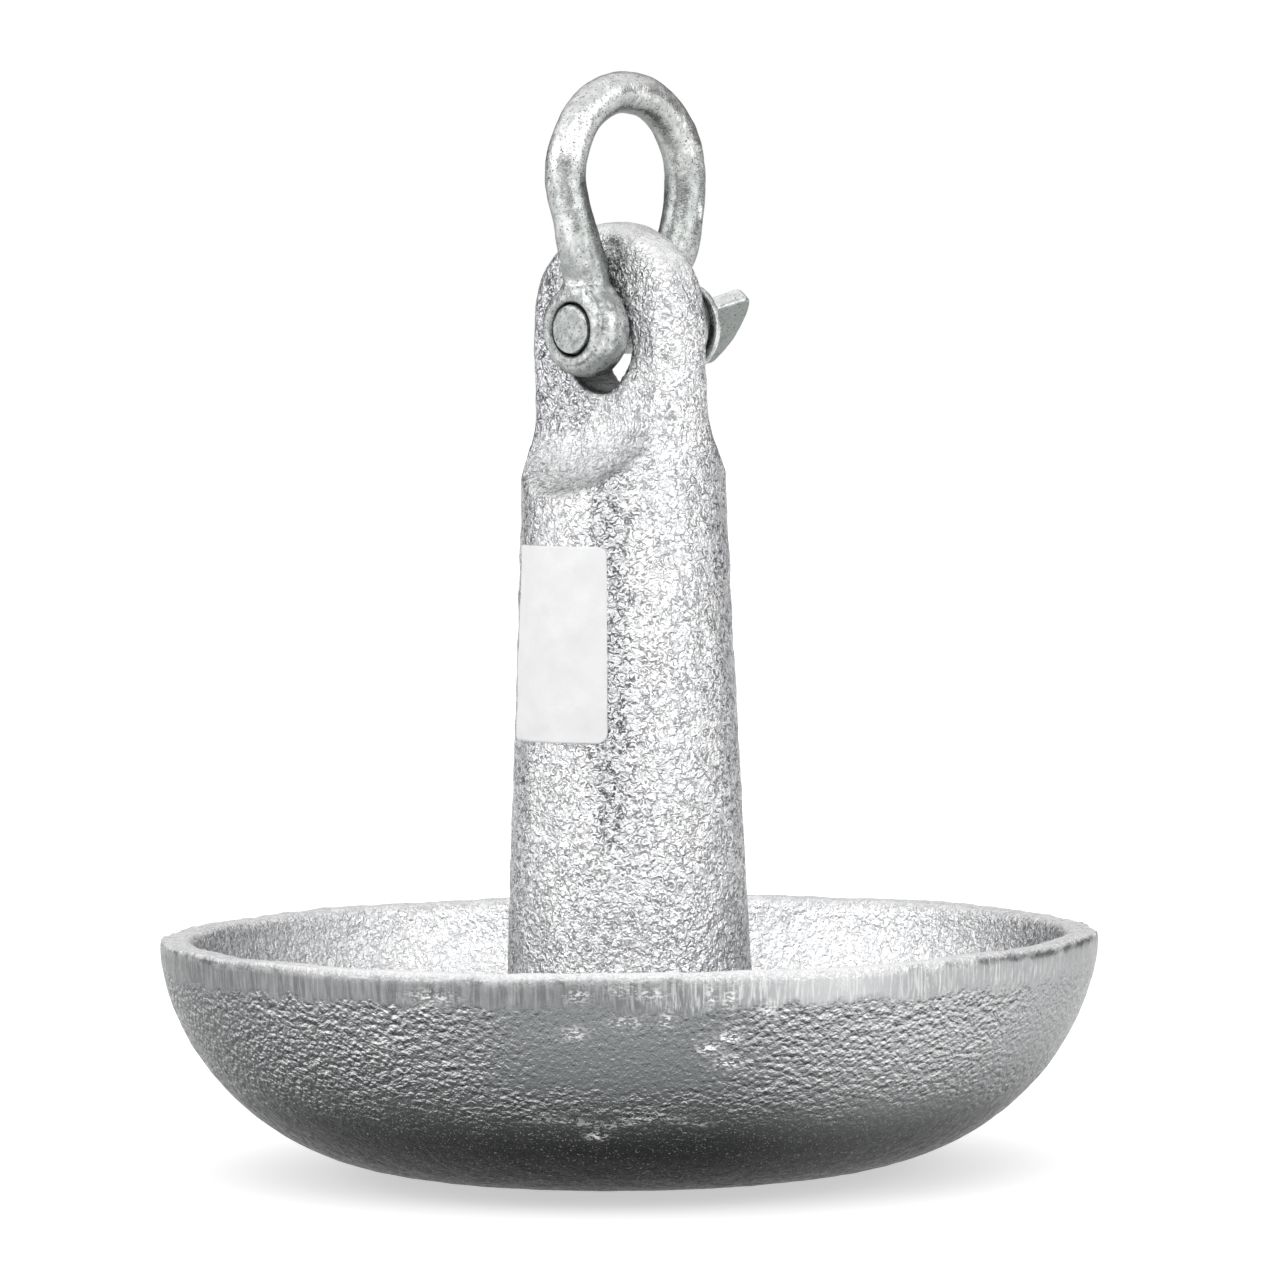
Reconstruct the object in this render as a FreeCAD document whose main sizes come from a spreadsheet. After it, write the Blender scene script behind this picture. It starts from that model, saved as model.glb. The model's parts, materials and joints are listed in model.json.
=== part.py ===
# Mushroom anchor: one iron casting (bowl, tapered shank and flattened head), a forged bow shackle whose eyes
# stand either side of the head, the shackle's screw pin through the head's hole, and a blank sticker.
# Millimetres, +Z up, origin at the middle of the bowl's underside. The screw pin lies along X.
import FreeCAD, Part
import math
import os
import Sketcher

V = FreeCAD.Vector

# Each size that can be set by itself, and what it measures.
SIZES = [
    ("bowl_diameter", 225.0, "outside of the bowl at its rim"),
    ("bowl_depth", 56.9, "ground to rim"),
    ("foot_diameter", 49.2, "flat spot that the bowl stands on"),
    ("belly_radius", 259.0, "shallow curve from the foot outwards"),
    ("bilge_reach", 52.0, "rim inwards to where the steep outer curve starts"),
    ("band_height", 6.0, "straight band under the rim"),
    ("band_draft", 0.5, "how far the band leans out"),
    ("rim_wall", 8.0, "wall at the rim"),
    ("floor_wall", 10.2, "wall under the bowl's inside floor"),
    ("hollow_reach", 52.5, "inner edge of the rim inwards to the flat inside floor"),
    ("rim_outer_round", 1.0, "outer edge of the rim"),
    ("rim_inner_round", 2.5, "inner edge of the rim"),
    ("shank_root_diameter", 61.8, "shank where it leaves the inside floor"),
    ("root_round", 12.0, "blend between shank and floor"),
    ("head_diameter", 49.2, "round bar that the head is flattened from"),
    ("anchor_top", 227.0, "height of the casting"),
    ("head_length", 71.0, "top of the casting down to the end of the taper"),
    ("tongue_thickness", 15.0, "head between its two flats"),
    ("flat_length", 45.5, "top of the casting down to where the flats begin to run out"),
    ("ramp_radius", 20.0, "hollow run-out under each flat"),
    ("head_round", 4.0, "edges round the flats"),
    ("hole_diameter", 22.0, "cast hole through the head"),
    ("hole_drop", 29.5, "top of the casting down to the hole's centre"),
    ("hole_round", 1.2, "mouths of the hole"),
    ("rod_diameter", 10.0, "round rod of the bow"),
    ("crown_radius", 20.3, "top of the bow, to the middle of the rod"),
    ("crown_height", 36.0, "pin to the centre of the crown"),
    ("flank_radius", 40.0, "sides of the bow, to the middle of the rod"),
    ("neck_radius", 12.0, "reverse bend above each eye"),
    ("leg_spacing", 27.8, "middle of the rod to middle of the rod, at the eyes"),
    ("jaw_width", 19.1, "between the two eyes"),
    ("eye_diameter", 23.0, "outside of the eyes"),
    ("eye_thickness", 9.8, "eye along the pin"),
    ("eye_outer_round", 3.8, "edge of each eye away from the jaw"),
    ("eye_inner_round", 2.0, "edge of each eye at the jaw"),
    ("shoulder_height", 8.5, "pin to the shoulder where the rod starts"),
    ("pin_diameter", 12.2, "screw pin"),
    ("pin_proud", 0.4, "how far the pin stands out of the plain eye"),
    ("pin_edge_round", 0.8, "edge of the pin's plain end"),
    ("plain_clearance", 0.3, "pin to the plain eye, on the radius"),
    ("thread_clearance", 0.15, "pin to the threaded eye, on the radius"),
    ("hang_clearance", 0.8, "pin to the top of the cast hole"),
    ("side_clearance", 0.3, "plain eye to the head"),
    ("seat_clearance", 0.3, "threaded eye to the pin's collar"),
    ("collar_diameter", 21.2, "collar of the pin"),
    ("collar_thickness", 2.0, "collar along the pin"),
    ("collar_round", 0.6, "edges of the collar"),
    ("tab_reach", 12.2, "collar to the corners of the thumb tab"),
    ("tab_root_width", 13.0, "tab where it leaves the collar"),
    ("tab_width", 22.0, "tab across its corners"),
    ("tab_end_radius", 21.7, "curved outer end of the tab"),
    ("tab_thickness", 4.4, "tab"),
    ("tab_corner_round", 2.5, "corners of the tab"),
    ("tab_edge_round", 0.9, "edges of the tab's faces"),
    ("tab_turn", 40.5, "degrees that the tab is turned about the pin"),
    ("label_width", 31.0, "sticker, measured round the shank"),
    ("label_height", 46.5, "sticker, up the shank"),
    ("label_bottom", 104.0, "height of the sticker's lower edge"),
    ("label_thickness", 0.2, "sticker"),
    ("label_glue", 0.05, "glue between shank and sticker"),
    ("label_corner_round", 2.5, "corners of the sticker"),
    ("label_side", 181.0, "degrees round the shank to the sticker's middle"),
]

# Places worked out from those sizes, as the document's own expressions.
TAPER_END = "(sizes.anchor_top - sizes.head_length)"
HOLE_HEIGHT = "(sizes.anchor_top - sizes.hole_drop)"
PIN_HEIGHT = HOLE_HEIGHT + " + sizes.hole_diameter / 2 - sizes.hang_clearance - sizes.pin_diameter / 2"
BOW_MIDDLE = "(sizes.jaw_width - sizes.tongue_thickness) / 2 - sizes.side_clearance"
EYE_FACE = "sizes.jaw_width / 2 + sizes.eye_thickness"
SEAT = EYE_FACE + " + sizes.seat_clearance"
TAB_ROOT = SEAT + " + sizes.collar_thickness"
TAPER = "(sizes.shank_root_diameter - sizes.head_diameter) / 2 / (" + TAPER_END + " - sizes.floor_wall)"
LABEL_MIDDLE = "(sizes.label_bottom + sizes.label_height / 2)"
LABEL_RADIUS = "(sizes.head_diameter / 2 + (" + TAPER_END + " - " + LABEL_MIDDLE + ") * " + TAPER + ")"
LABEL_HALF = LABEL_RADIUS + " * sin(sizes.label_width / 2 / " + LABEL_RADIUS + " * 180 / pi)"

# Degrees of skin that the sticker is trimmed from: under half a turn, so that the cut leaves one patch.
SKIN_TURN = 170
# How near two places have to be to count as the same.
NEAR = 0.01

doc = FreeCAD.newDocument("mushroom_anchor")
sheet = doc.addObject("Spreadsheet::Sheet", "sizes")
for row, (alias, value, meaning) in enumerate(SIZES, start=1):
    sheet.set(f"A{row}", alias)
    sheet.set(f"B{row}", str(value))
    sheet.set(f"C{row}", meaning)
    sheet.setAlias(f"B{row}", alias)
doc.recompute()


def size(alias):
    """Value of one cell."""
    return float(getattr(sheet, alias))


def below_top(alias):
    """Height of a place that is measured down from the top of the casting."""
    return size("anchor_top") - size(alias)


def origin_item(body, role):
    """One of the body's own origin planes or axes."""
    return next(item for item in body.Origin.OriginFeatures if item.Role == role)


def new_body(name):
    """Empty body, labelled with the name of its node."""
    body = doc.addObject("PartDesign::Body", name)
    body.Label = name
    return body


def new_sketch(body, role, name):
    """Sketch lying on one of the body's origin planes."""
    sketch = body.newObject("Sketcher::SketchObject", name)
    sketch.AttachmentSupport = [(origin_item(body, role), "")]
    sketch.MapMode = "FlatFace"
    return sketch


def line(sketch, start, end):
    return sketch.addGeometry(Part.LineSegment(V(*start), V(*end)), False)


def circle(sketch, centre, radius):
    return sketch.addGeometry(Part.Circle(V(*centre), V(0, 0, 1), radius), False)


def arc(sketch, centre, radius, low, high):
    """Arc from angle low to angle high, in radians, anticlockwise."""
    ring = Part.Circle(V(*centre), V(0, 0, 1), radius)
    return sketch.addGeometry(Part.ArcOfCircle(ring, low, high), False)


def relate(sketch, kind, *ends):
    """Constraint that has no value."""
    sketch.addConstraint(Sketcher.Constraint(kind, *ends))


def drive(sketch, name, kind, ends, expression):
    """Dimension whose value comes from the sheet. It starts at what the sketch already measures."""
    if kind == "Radius":
        value = sketch.Geometry[ends[0]].Radius
    elif kind == "DistanceX":
        value = sketch.getPoint(*ends[2:]).x - sketch.getPoint(*ends[:2]).x
    else:
        value = sketch.getPoint(*ends[2:]).y - sketch.getPoint(*ends[:2]).y
    index = sketch.addConstraint(Sketcher.Constraint(kind, *ends, value))
    sketch.renameConstraint(index, name)
    sketch.setExpression(f"Constraints.{name}", expression)


def revolve(body, sketch, role, name):
    """Full turn of a sketch about one of the body's axes."""
    feature = body.newObject("PartDesign::Revolution", name)
    feature.Profile = sketch
    feature.ReferenceAxis = (origin_item(body, role), [""])
    doc.recompute()
    return feature


def cut_across(body, sketch, length, name):
    """Pocket that goes the same way to both sides of its sketch. It has to take something away."""
    volume = body.Shape.Volume
    feature = body.newObject("PartDesign::Pocket", name)
    feature.Profile = sketch
    feature.Midplane = True
    feature.setExpression("Length", length)
    doc.recompute()
    if body.Shape.Volume >= volume:
        raise RuntimeError(name + " cuts nothing")
    return feature


def fillet(body, radius, name, wanted):
    """Round the edges of the body for which wanted(edge) is true."""
    base = body.Tip
    names = [f"Edge{i}" for i, edge in enumerate(base.Shape.Edges, start=1) if wanted(edge)]
    if not names:
        raise RuntimeError(name + " finds no edge")
    feature = body.newObject("PartDesign::Fillet", name)
    feature.Base = (base, names)
    feature.setExpression("Radius", radius)
    doc.recompute()
    return feature


def is_ring(edge, radius, centre):
    """True for a full circle of this radius about this centre."""
    as_long = abs(edge.Length - 2 * math.pi * radius) < NEAR
    return as_long and edge.CenterOfMass.distanceToPoint(centre) < NEAR


def tangent_arc_end(start, slope, end):
    """Radius and centre of the arc that leaves start at this slope and passes through end."""
    dx, dy = end[0] - start[0], end[1] - start[1]
    radius = (dx * dx + dy * dy) / (2 * (dy * math.cos(slope) - dx * math.sin(slope)))
    return radius, (start[0] - radius * math.sin(slope), start[1] + radius * math.cos(slope))


def angle_to(centre, point):
    return math.atan2(point[1] - centre[1], point[0] - centre[0])


def bowl_section(body):
    """Half section of the bowl: foot, two outer curves, band, rim, hollow and inside floor."""
    sketch = new_sketch(body, "XZ_Plane", "bowl_section")
    rim, depth, foot = size("bowl_diameter") / 2, size("bowl_depth"), size("foot_diameter") / 2
    belly, floor = size("belly_radius"), size("floor_wall")
    slope = math.asin((rim - size("bilge_reach") - foot) / belly)
    bilge_start = (foot + belly * math.sin(slope), belly * (1 - math.cos(slope)))
    band_start = (rim - size("band_draft"), depth - size("band_height"))
    bilge, bilge_centre = tangent_arc_end(bilge_start, slope, band_start)
    inner_rim = (rim - size("rim_wall"), depth)
    floor_edge = (inner_rim[0] - size("hollow_reach"), floor)
    hollow, hollow_centre = tangent_arc_end(floor_edge, 0, inner_rim)

    foot_line = line(sketch, (0, 0), (foot, 0))
    belly_arc = arc(sketch, (foot, belly), belly, -math.pi / 2, slope - math.pi / 2)
    bilge_arc = arc(sketch, bilge_centre, bilge, slope - math.pi / 2, angle_to(bilge_centre, band_start))
    band_line = line(sketch, band_start, (rim, depth))
    rim_line = line(sketch, (rim, depth), inner_rim)
    hollow_arc = arc(sketch, hollow_centre, hollow, -math.pi / 2, angle_to(hollow_centre, inner_rim))
    floor_line = line(sketch, floor_edge, (0, floor))
    axis_line = line(sketch, (0, floor), (0, 0))

    relate(sketch, "Coincident", foot_line, 1, -1, 1)
    relate(sketch, "Horizontal", foot_line)
    relate(sketch, "Tangent", foot_line, 2, belly_arc, 1)
    relate(sketch, "Tangent", belly_arc, 2, bilge_arc, 1)
    relate(sketch, "Coincident", bilge_arc, 2, band_line, 1)
    relate(sketch, "Coincident", band_line, 2, rim_line, 1)
    relate(sketch, "Horizontal", rim_line)
    relate(sketch, "Coincident", rim_line, 2, hollow_arc, 2)
    relate(sketch, "Tangent", hollow_arc, 1, floor_line, 1)
    relate(sketch, "Horizontal", floor_line)
    relate(sketch, "Coincident", floor_line, 2, axis_line, 1)
    relate(sketch, "Coincident", axis_line, 2, foot_line, 1)
    relate(sketch, "Vertical", axis_line)
    drive(sketch, "rim_radius", "DistanceX", (-1, 1, band_line, 2), "sizes.bowl_diameter / 2")
    drive(sketch, "depth", "DistanceY", (-1, 1, band_line, 2), "sizes.bowl_depth")
    drive(sketch, "foot_radius", "DistanceX", (foot_line, 1, foot_line, 2), "sizes.foot_diameter / 2")
    drive(sketch, "belly", "Radius", (belly_arc,), "sizes.belly_radius")
    drive(sketch, "bilge", "DistanceX", (bilge_arc, 1, band_line, 2), "sizes.bilge_reach")
    drive(sketch, "band", "DistanceY", (band_line, 1, band_line, 2), "sizes.band_height")
    drive(sketch, "draft", "DistanceX", (band_line, 1, band_line, 2), "sizes.band_draft")
    drive(sketch, "rim", "DistanceX", (rim_line, 2, rim_line, 1), "sizes.rim_wall")
    drive(sketch, "floor", "DistanceY", (axis_line, 2, axis_line, 1), "sizes.floor_wall")
    drive(sketch, "hollow", "DistanceX", (floor_line, 1, rim_line, 2), "sizes.hollow_reach")
    return sketch


def shank_section(body):
    """Half section of the shank: taper, straight bar and domed top."""
    sketch = new_sketch(body, "XZ_Plane", "shank_section")
    root, bar = size("shank_root_diameter") / 2, size("head_diameter") / 2
    floor, taper_end, top = size("floor_wall"), below_top("head_length"), size("anchor_top")

    root_line = line(sketch, (0, floor), (root, floor))
    taper_line = line(sketch, (root, floor), (bar, taper_end))
    bar_line = line(sketch, (bar, taper_end), (bar, top - bar))
    dome_arc = arc(sketch, (0, top - bar), bar, 0, math.pi / 2)
    axis_line = line(sketch, (0, top), (0, floor))

    relate(sketch, "PointOnObject", root_line, 1, -2)
    relate(sketch, "Horizontal", root_line)
    relate(sketch, "Coincident", root_line, 2, taper_line, 1)
    relate(sketch, "Coincident", taper_line, 2, bar_line, 1)
    relate(sketch, "Vertical", bar_line)
    relate(sketch, "Tangent", bar_line, 2, dome_arc, 1)
    relate(sketch, "Coincident", dome_arc, 2, axis_line, 1)
    relate(sketch, "Coincident", axis_line, 2, root_line, 1)
    relate(sketch, "PointOnObject", dome_arc, 3, -2)
    relate(sketch, "Vertical", axis_line)
    drive(sketch, "floor", "DistanceY", (-1, 1, root_line, 1), "sizes.floor_wall")
    drive(sketch, "root", "DistanceX", (root_line, 1, root_line, 2), "sizes.shank_root_diameter / 2")
    drive(sketch, "bar_radius", "Radius", (dome_arc,), "sizes.head_diameter / 2")
    drive(sketch, "taper_end", "DistanceY", (-1, 1, bar_line, 1), TAPER_END)
    drive(sketch, "top", "DistanceY", (-1, 1, dome_arc, 2), "sizes.anchor_top")
    return sketch


def flat_section(body):
    """What is taken off one side of the head: a flat that runs out below through a hollow curve."""
    sketch = new_sketch(body, "XZ_Plane", "flat_section")
    flat, ramp, bottom = size("tongue_thickness") / 2, size("ramp_radius"), below_top("flat_length")
    outside, above = flat + ramp + size("head_diameter"), size("anchor_top") + ramp

    flat_line = line(sketch, (flat, above), (flat, bottom))
    ramp_arc = arc(sketch, (flat + ramp, bottom), ramp, math.pi, 1.5 * math.pi)
    low_line = line(sketch, (flat + ramp, bottom - ramp), (outside, bottom - ramp))
    out_line = line(sketch, (outside, bottom - ramp), (outside, above))
    top_line = line(sketch, (outside, above), (flat, above))

    relate(sketch, "Vertical", flat_line)
    relate(sketch, "Tangent", flat_line, 2, ramp_arc, 1)
    relate(sketch, "Tangent", ramp_arc, 2, low_line, 1)
    relate(sketch, "Horizontal", low_line)
    relate(sketch, "Coincident", low_line, 2, out_line, 1)
    relate(sketch, "Vertical", out_line)
    relate(sketch, "Coincident", out_line, 2, top_line, 1)
    relate(sketch, "Horizontal", top_line)
    relate(sketch, "Coincident", top_line, 2, flat_line, 1)
    drive(sketch, "flat", "DistanceX", (-1, 1, flat_line, 2), "sizes.tongue_thickness / 2")
    drive(sketch, "bottom", "DistanceY", (-1, 1, flat_line, 2), "sizes.anchor_top - sizes.flat_length")
    drive(sketch, "ramp", "Radius", (ramp_arc,), "sizes.ramp_radius")
    drive(sketch, "above", "DistanceY", (-1, 1, flat_line, 1), "sizes.anchor_top + sizes.ramp_radius")
    drive(sketch, "outside", "DistanceX", (low_line, 1, low_line, 2), "sizes.head_diameter")
    return sketch


def anchor_casting():
    """Bowl, shank and head, cast in one."""
    body = new_body("anchor_casting")
    revolve(body, bowl_section(body), "Z_Axis", "bowl")
    revolve(body, shank_section(body), "Z_Axis", "shank")
    rim, depth = size("bowl_diameter") / 2, V(0, 0, size("bowl_depth"))
    root, floor = size("shank_root_diameter") / 2, V(0, 0, size("floor_wall"))
    fillet(body, "sizes.root_round", "root_blend", lambda edge: is_ring(edge, root, floor))
    fillet(body, "sizes.rim_outer_round", "rim_outer_edge", lambda edge: is_ring(edge, rim, depth))
    inner_rim = rim - size("rim_wall")
    fillet(body, "sizes.rim_inner_round", "rim_inner_edge", lambda edge: is_ring(edge, inner_rim, depth))

    flat_cut = cut_across(body, flat_section(body), "2 * sizes.head_diameter", "flat")
    both_flats = body.newObject("PartDesign::Mirrored", "both_flats")
    both_flats.Originals = [flat_cut]
    both_flats.MirrorPlane = (origin_item(body, "YZ_Plane"), [""])
    body.Tip = both_flats
    doc.recompute()

    flat, dome = size("tongue_thickness") / 2, size("anchor_top") - size("head_diameter") / 2

    def crowns_flat(edge):
        """Arc where a flat meets the dome. The rest of the flat's outline is tangent to it."""
        box = edge.BoundBox
        return box.XLength < NEAR and abs(abs(box.XMin) - flat) < NEAR and box.ZMin > dome - NEAR

    fillet(body, "sizes.head_round", "head_edges", crowns_flat)

    hole_sketch = new_sketch(body, "YZ_Plane", "hole_circle")
    height = below_top("hole_drop")
    ring = circle(hole_sketch, (0, height), size("hole_diameter") / 2)
    relate(hole_sketch, "PointOnObject", ring, 3, -2)
    drive(hole_sketch, "height", "DistanceY", (-1, 1, ring, 3), HOLE_HEIGHT)
    drive(hole_sketch, "radius", "Radius", (ring,), "sizes.hole_diameter / 2")
    cut_across(body, hole_sketch, "2 * sizes.tongue_thickness", "hole")
    hole, mouth, other_mouth = size("hole_diameter") / 2, V(flat, 0, height), V(-flat, 0, height)
    fillet(
        body,
        "sizes.hole_round",
        "hole_mouths",
        lambda edge: is_ring(edge, hole, mouth) or is_ring(edge, hole, other_mouth),
    )
    return body


def bow_path(body):
    """Middle line of the bow's rod: up from one eye, out, round the crown and down to the other."""
    sketch = new_sketch(body, "XZ_Plane", "bow_path")
    side, shoulder = size("leg_spacing") / 2, size("shoulder_height")
    crown, height = size("crown_radius"), size("crown_height")
    flank, neck = size("flank_radius"), size("neck_radius")
    turn = math.acos(1 - (crown - side) / (flank + neck))
    bend = height - (flank + neck) * math.sin(turn)

    right_line = line(sketch, (side, shoulder), (side, bend))
    right_neck = arc(sketch, (side + neck, bend), neck, math.pi - turn, math.pi)
    right_flank = arc(sketch, (crown - flank, height), flank, -turn, 0)
    crown_arc = arc(sketch, (0, height), crown, 0, math.pi)
    left_flank = arc(sketch, (flank - crown, height), flank, math.pi, math.pi + turn)
    left_neck = arc(sketch, (-side - neck, bend), neck, 0, turn)
    left_line = line(sketch, (-side, bend), (-side, shoulder))

    relate(sketch, "Vertical", right_line)
    relate(sketch, "Tangent", right_line, 2, right_neck, 2)
    relate(sketch, "Tangent", right_neck, 1, right_flank, 1)
    relate(sketch, "Tangent", right_flank, 2, crown_arc, 1)
    relate(sketch, "Tangent", crown_arc, 2, left_flank, 1)
    relate(sketch, "Tangent", left_flank, 2, left_neck, 2)
    relate(sketch, "Tangent", left_neck, 1, left_line, 1)
    relate(sketch, "Vertical", left_line)
    relate(sketch, "PointOnObject", crown_arc, 3, -2)
    relate(sketch, "Horizontal", crown_arc, 3, crown_arc, 1)
    relate(sketch, "Symmetric", right_line, 1, left_line, 2, -2)
    relate(sketch, "Symmetric", right_flank, 1, left_flank, 2, -2)
    drive(sketch, "crown", "Radius", (crown_arc,), "sizes.crown_radius")
    drive(sketch, "height", "DistanceY", (-1, 1, crown_arc, 3), "sizes.crown_height")
    drive(sketch, "right_flank", "Radius", (right_flank,), "sizes.flank_radius")
    drive(sketch, "left_flank", "Radius", (left_flank,), "sizes.flank_radius")
    drive(sketch, "right_neck", "Radius", (right_neck,), "sizes.neck_radius")
    drive(sketch, "spacing", "DistanceX", (left_line, 2, right_line, 1), "sizes.leg_spacing")
    drive(sketch, "shoulder", "DistanceY", (-1, 1, right_line, 1), "sizes.shoulder_height")
    return sketch


def eye_section(sketch, side, clearance):
    """Section of one eye above the pin's axis, bored below and rounded at its two upper corners.
    Its low end is the one towards -X, and its high end the one towards +X."""
    jaw, thick = size("jaw_width") / 2, size("eye_thickness")
    if side > 0:
        word, low, low_round, high_round = "threaded", jaw, "eye_inner_round", "eye_outer_round"
    else:
        word, low, low_round, high_round = "plain", -jaw - thick, "eye_outer_round", "eye_inner_round"
    high = low + thick
    low_edge, high_edge = size(low_round), size(high_round)
    bore, outside = size("pin_diameter") / 2 + size(clearance), size("eye_diameter") / 2

    bore_line = line(sketch, (low, bore), (high, bore))
    high_line = line(sketch, (high, bore), (high, outside - high_edge))
    high_arc = arc(sketch, (high - high_edge, outside - high_edge), high_edge, 0, math.pi / 2)
    top_line = line(sketch, (high - high_edge, outside), (low + low_edge, outside))
    low_arc = arc(sketch, (low + low_edge, outside - low_edge), low_edge, math.pi / 2, math.pi)
    low_line = line(sketch, (low, outside - low_edge), (low, bore))

    relate(sketch, "Horizontal", bore_line)
    relate(sketch, "Coincident", bore_line, 2, high_line, 1)
    relate(sketch, "Vertical", high_line)
    relate(sketch, "Tangent", high_line, 2, high_arc, 1)
    relate(sketch, "Tangent", high_arc, 2, top_line, 1)
    relate(sketch, "Horizontal", top_line)
    relate(sketch, "Tangent", top_line, 2, low_arc, 1)
    relate(sketch, "Tangent", low_arc, 2, low_line, 1)
    relate(sketch, "Vertical", low_line)
    relate(sketch, "Coincident", low_line, 2, bore_line, 1)
    to_jaw = (-1, 1, bore_line, 1) if side > 0 else (bore_line, 2, -1, 1)
    drive(sketch, word + "_jaw", "DistanceX", to_jaw, "sizes.jaw_width / 2")
    drive(sketch, word + "_thickness", "DistanceX", (bore_line, 1, bore_line, 2), "sizes.eye_thickness")
    bore_radius = "sizes.pin_diameter / 2 + sizes." + clearance
    drive(sketch, word + "_bore", "DistanceY", (-1, 1, bore_line, 1), bore_radius)
    drive(sketch, word + "_outside", "DistanceY", (-1, 1, top_line, 1), "sizes.eye_diameter / 2")
    drive(sketch, word + "_high_edge", "Radius", (high_arc,), "sizes." + high_round)
    drive(sketch, word + "_low_edge", "Radius", (low_arc,), "sizes." + low_round)


def jaw_section(body):
    """Gap between the two eyes, carried up to where the rod has bent clear of it."""
    sketch = new_sketch(body, "XZ_Plane", "jaw_section")
    half, top = size("jaw_width") / 2, size("crown_height") / 2

    low_line = line(sketch, (-half, 0), (half, 0))
    right_line = line(sketch, (half, 0), (half, top))
    top_line = line(sketch, (half, top), (-half, top))
    left_line = line(sketch, (-half, top), (-half, 0))

    relate(sketch, "Coincident", low_line, 2, right_line, 1)
    relate(sketch, "Coincident", right_line, 2, top_line, 1)
    relate(sketch, "Coincident", top_line, 2, left_line, 1)
    relate(sketch, "Coincident", left_line, 2, low_line, 1)
    relate(sketch, "Horizontal", top_line)
    relate(sketch, "Vertical", right_line)
    relate(sketch, "Vertical", left_line)
    relate(sketch, "Symmetric", low_line, 1, low_line, 2, -1, 1)
    drive(sketch, "jaw", "DistanceX", (low_line, 1, low_line, 2), "sizes.jaw_width")
    drive(sketch, "top", "DistanceY", (-1, 1, right_line, 2), "sizes.crown_height / 2")
    return sketch


def shackle_bow():
    """Forged bow with its plain eye (-X) and threaded eye (+X), around the middle of the pin."""
    body = new_body("shackle_bow")
    path = bow_path(body)
    rod_circle = new_sketch(body, "XY_Plane", "rod_circle")
    rod_circle.setExpression("AttachmentOffset.Base.z", "sizes.shoulder_height")
    ring = circle(rod_circle, (size("leg_spacing") / 2, 0), size("rod_diameter") / 2)
    relate(rod_circle, "PointOnObject", ring, 3, -1)
    drive(rod_circle, "side", "DistanceX", (-1, 1, ring, 3), "sizes.leg_spacing / 2")
    drive(rod_circle, "radius", "Radius", (ring,), "sizes.rod_diameter / 2")
    doc.recompute()
    rod = body.newObject("PartDesign::AdditivePipe", "rod")
    rod.Profile = rod_circle
    rod.Spine = (path, [f"Edge{i}" for i in range(1, path.GeometryCount + 1)])
    doc.recompute()

    eyes = new_sketch(body, "XZ_Plane", "eye_sections")
    eye_section(eyes, 1, "thread_clearance")
    eye_section(eyes, -1, "plain_clearance")
    revolve(body, eyes, "X_Axis", "eyes")
    cut_across(body, jaw_section(body), "sizes.rod_diameter + sizes.eye_diameter", "jaw")

    body.setExpression("Placement.Base.x", BOW_MIDDLE)
    body.setExpression("Placement.Base.z", PIN_HEIGHT)
    return body


def pin_section(body):
    """Half section of the screw pin and its collar, from the plain eye's outer face to the tab."""
    sketch = new_sketch(body, "XZ_Plane", "pin_section")
    face = size("jaw_width") / 2 + size("eye_thickness")
    end, seat = face + size("pin_proud"), face + size("seat_clearance")
    outside = seat + size("collar_thickness")
    pin, collar, edge = size("pin_diameter") / 2, size("collar_diameter") / 2, size("pin_edge_round")

    end_line = line(sketch, (-end, 0), (-end, pin - edge))
    edge_arc = arc(sketch, (edge - end, pin - edge), edge, math.pi / 2, math.pi)
    pin_line = line(sketch, (edge - end, pin), (seat, pin))
    seat_line = line(sketch, (seat, pin), (seat, collar))
    collar_line = line(sketch, (seat, collar), (outside, collar))
    outer_line = line(sketch, (outside, collar), (outside, 0))
    axis_line = line(sketch, (outside, 0), (-end, 0))

    relate(sketch, "Vertical", end_line)
    relate(sketch, "Tangent", end_line, 2, edge_arc, 2)
    relate(sketch, "Tangent", edge_arc, 1, pin_line, 1)
    relate(sketch, "Horizontal", pin_line)
    relate(sketch, "Coincident", pin_line, 2, seat_line, 1)
    relate(sketch, "Vertical", seat_line)
    relate(sketch, "Coincident", seat_line, 2, collar_line, 1)
    relate(sketch, "Horizontal", collar_line)
    relate(sketch, "Coincident", collar_line, 2, outer_line, 1)
    relate(sketch, "Vertical", outer_line)
    relate(sketch, "Coincident", outer_line, 2, axis_line, 1)
    relate(sketch, "Coincident", axis_line, 2, end_line, 1)
    relate(sketch, "PointOnObject", axis_line, 1, -1)
    relate(sketch, "PointOnObject", axis_line, 2, -1)
    drive(sketch, "end", "DistanceX", (end_line, 1, -1, 1), EYE_FACE + " + sizes.pin_proud")
    drive(sketch, "seat", "DistanceX", (-1, 1, seat_line, 1), SEAT)
    drive(sketch, "pin", "DistanceY", (-1, 1, pin_line, 1), "sizes.pin_diameter / 2")
    drive(sketch, "edge", "Radius", (edge_arc,), "sizes.pin_edge_round")
    drive(sketch, "collar", "DistanceY", (-1, 1, collar_line, 1), "sizes.collar_diameter / 2")
    drive(sketch, "thickness", "DistanceX", (collar_line, 1, collar_line, 2), "sizes.collar_thickness")
    return sketch


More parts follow.
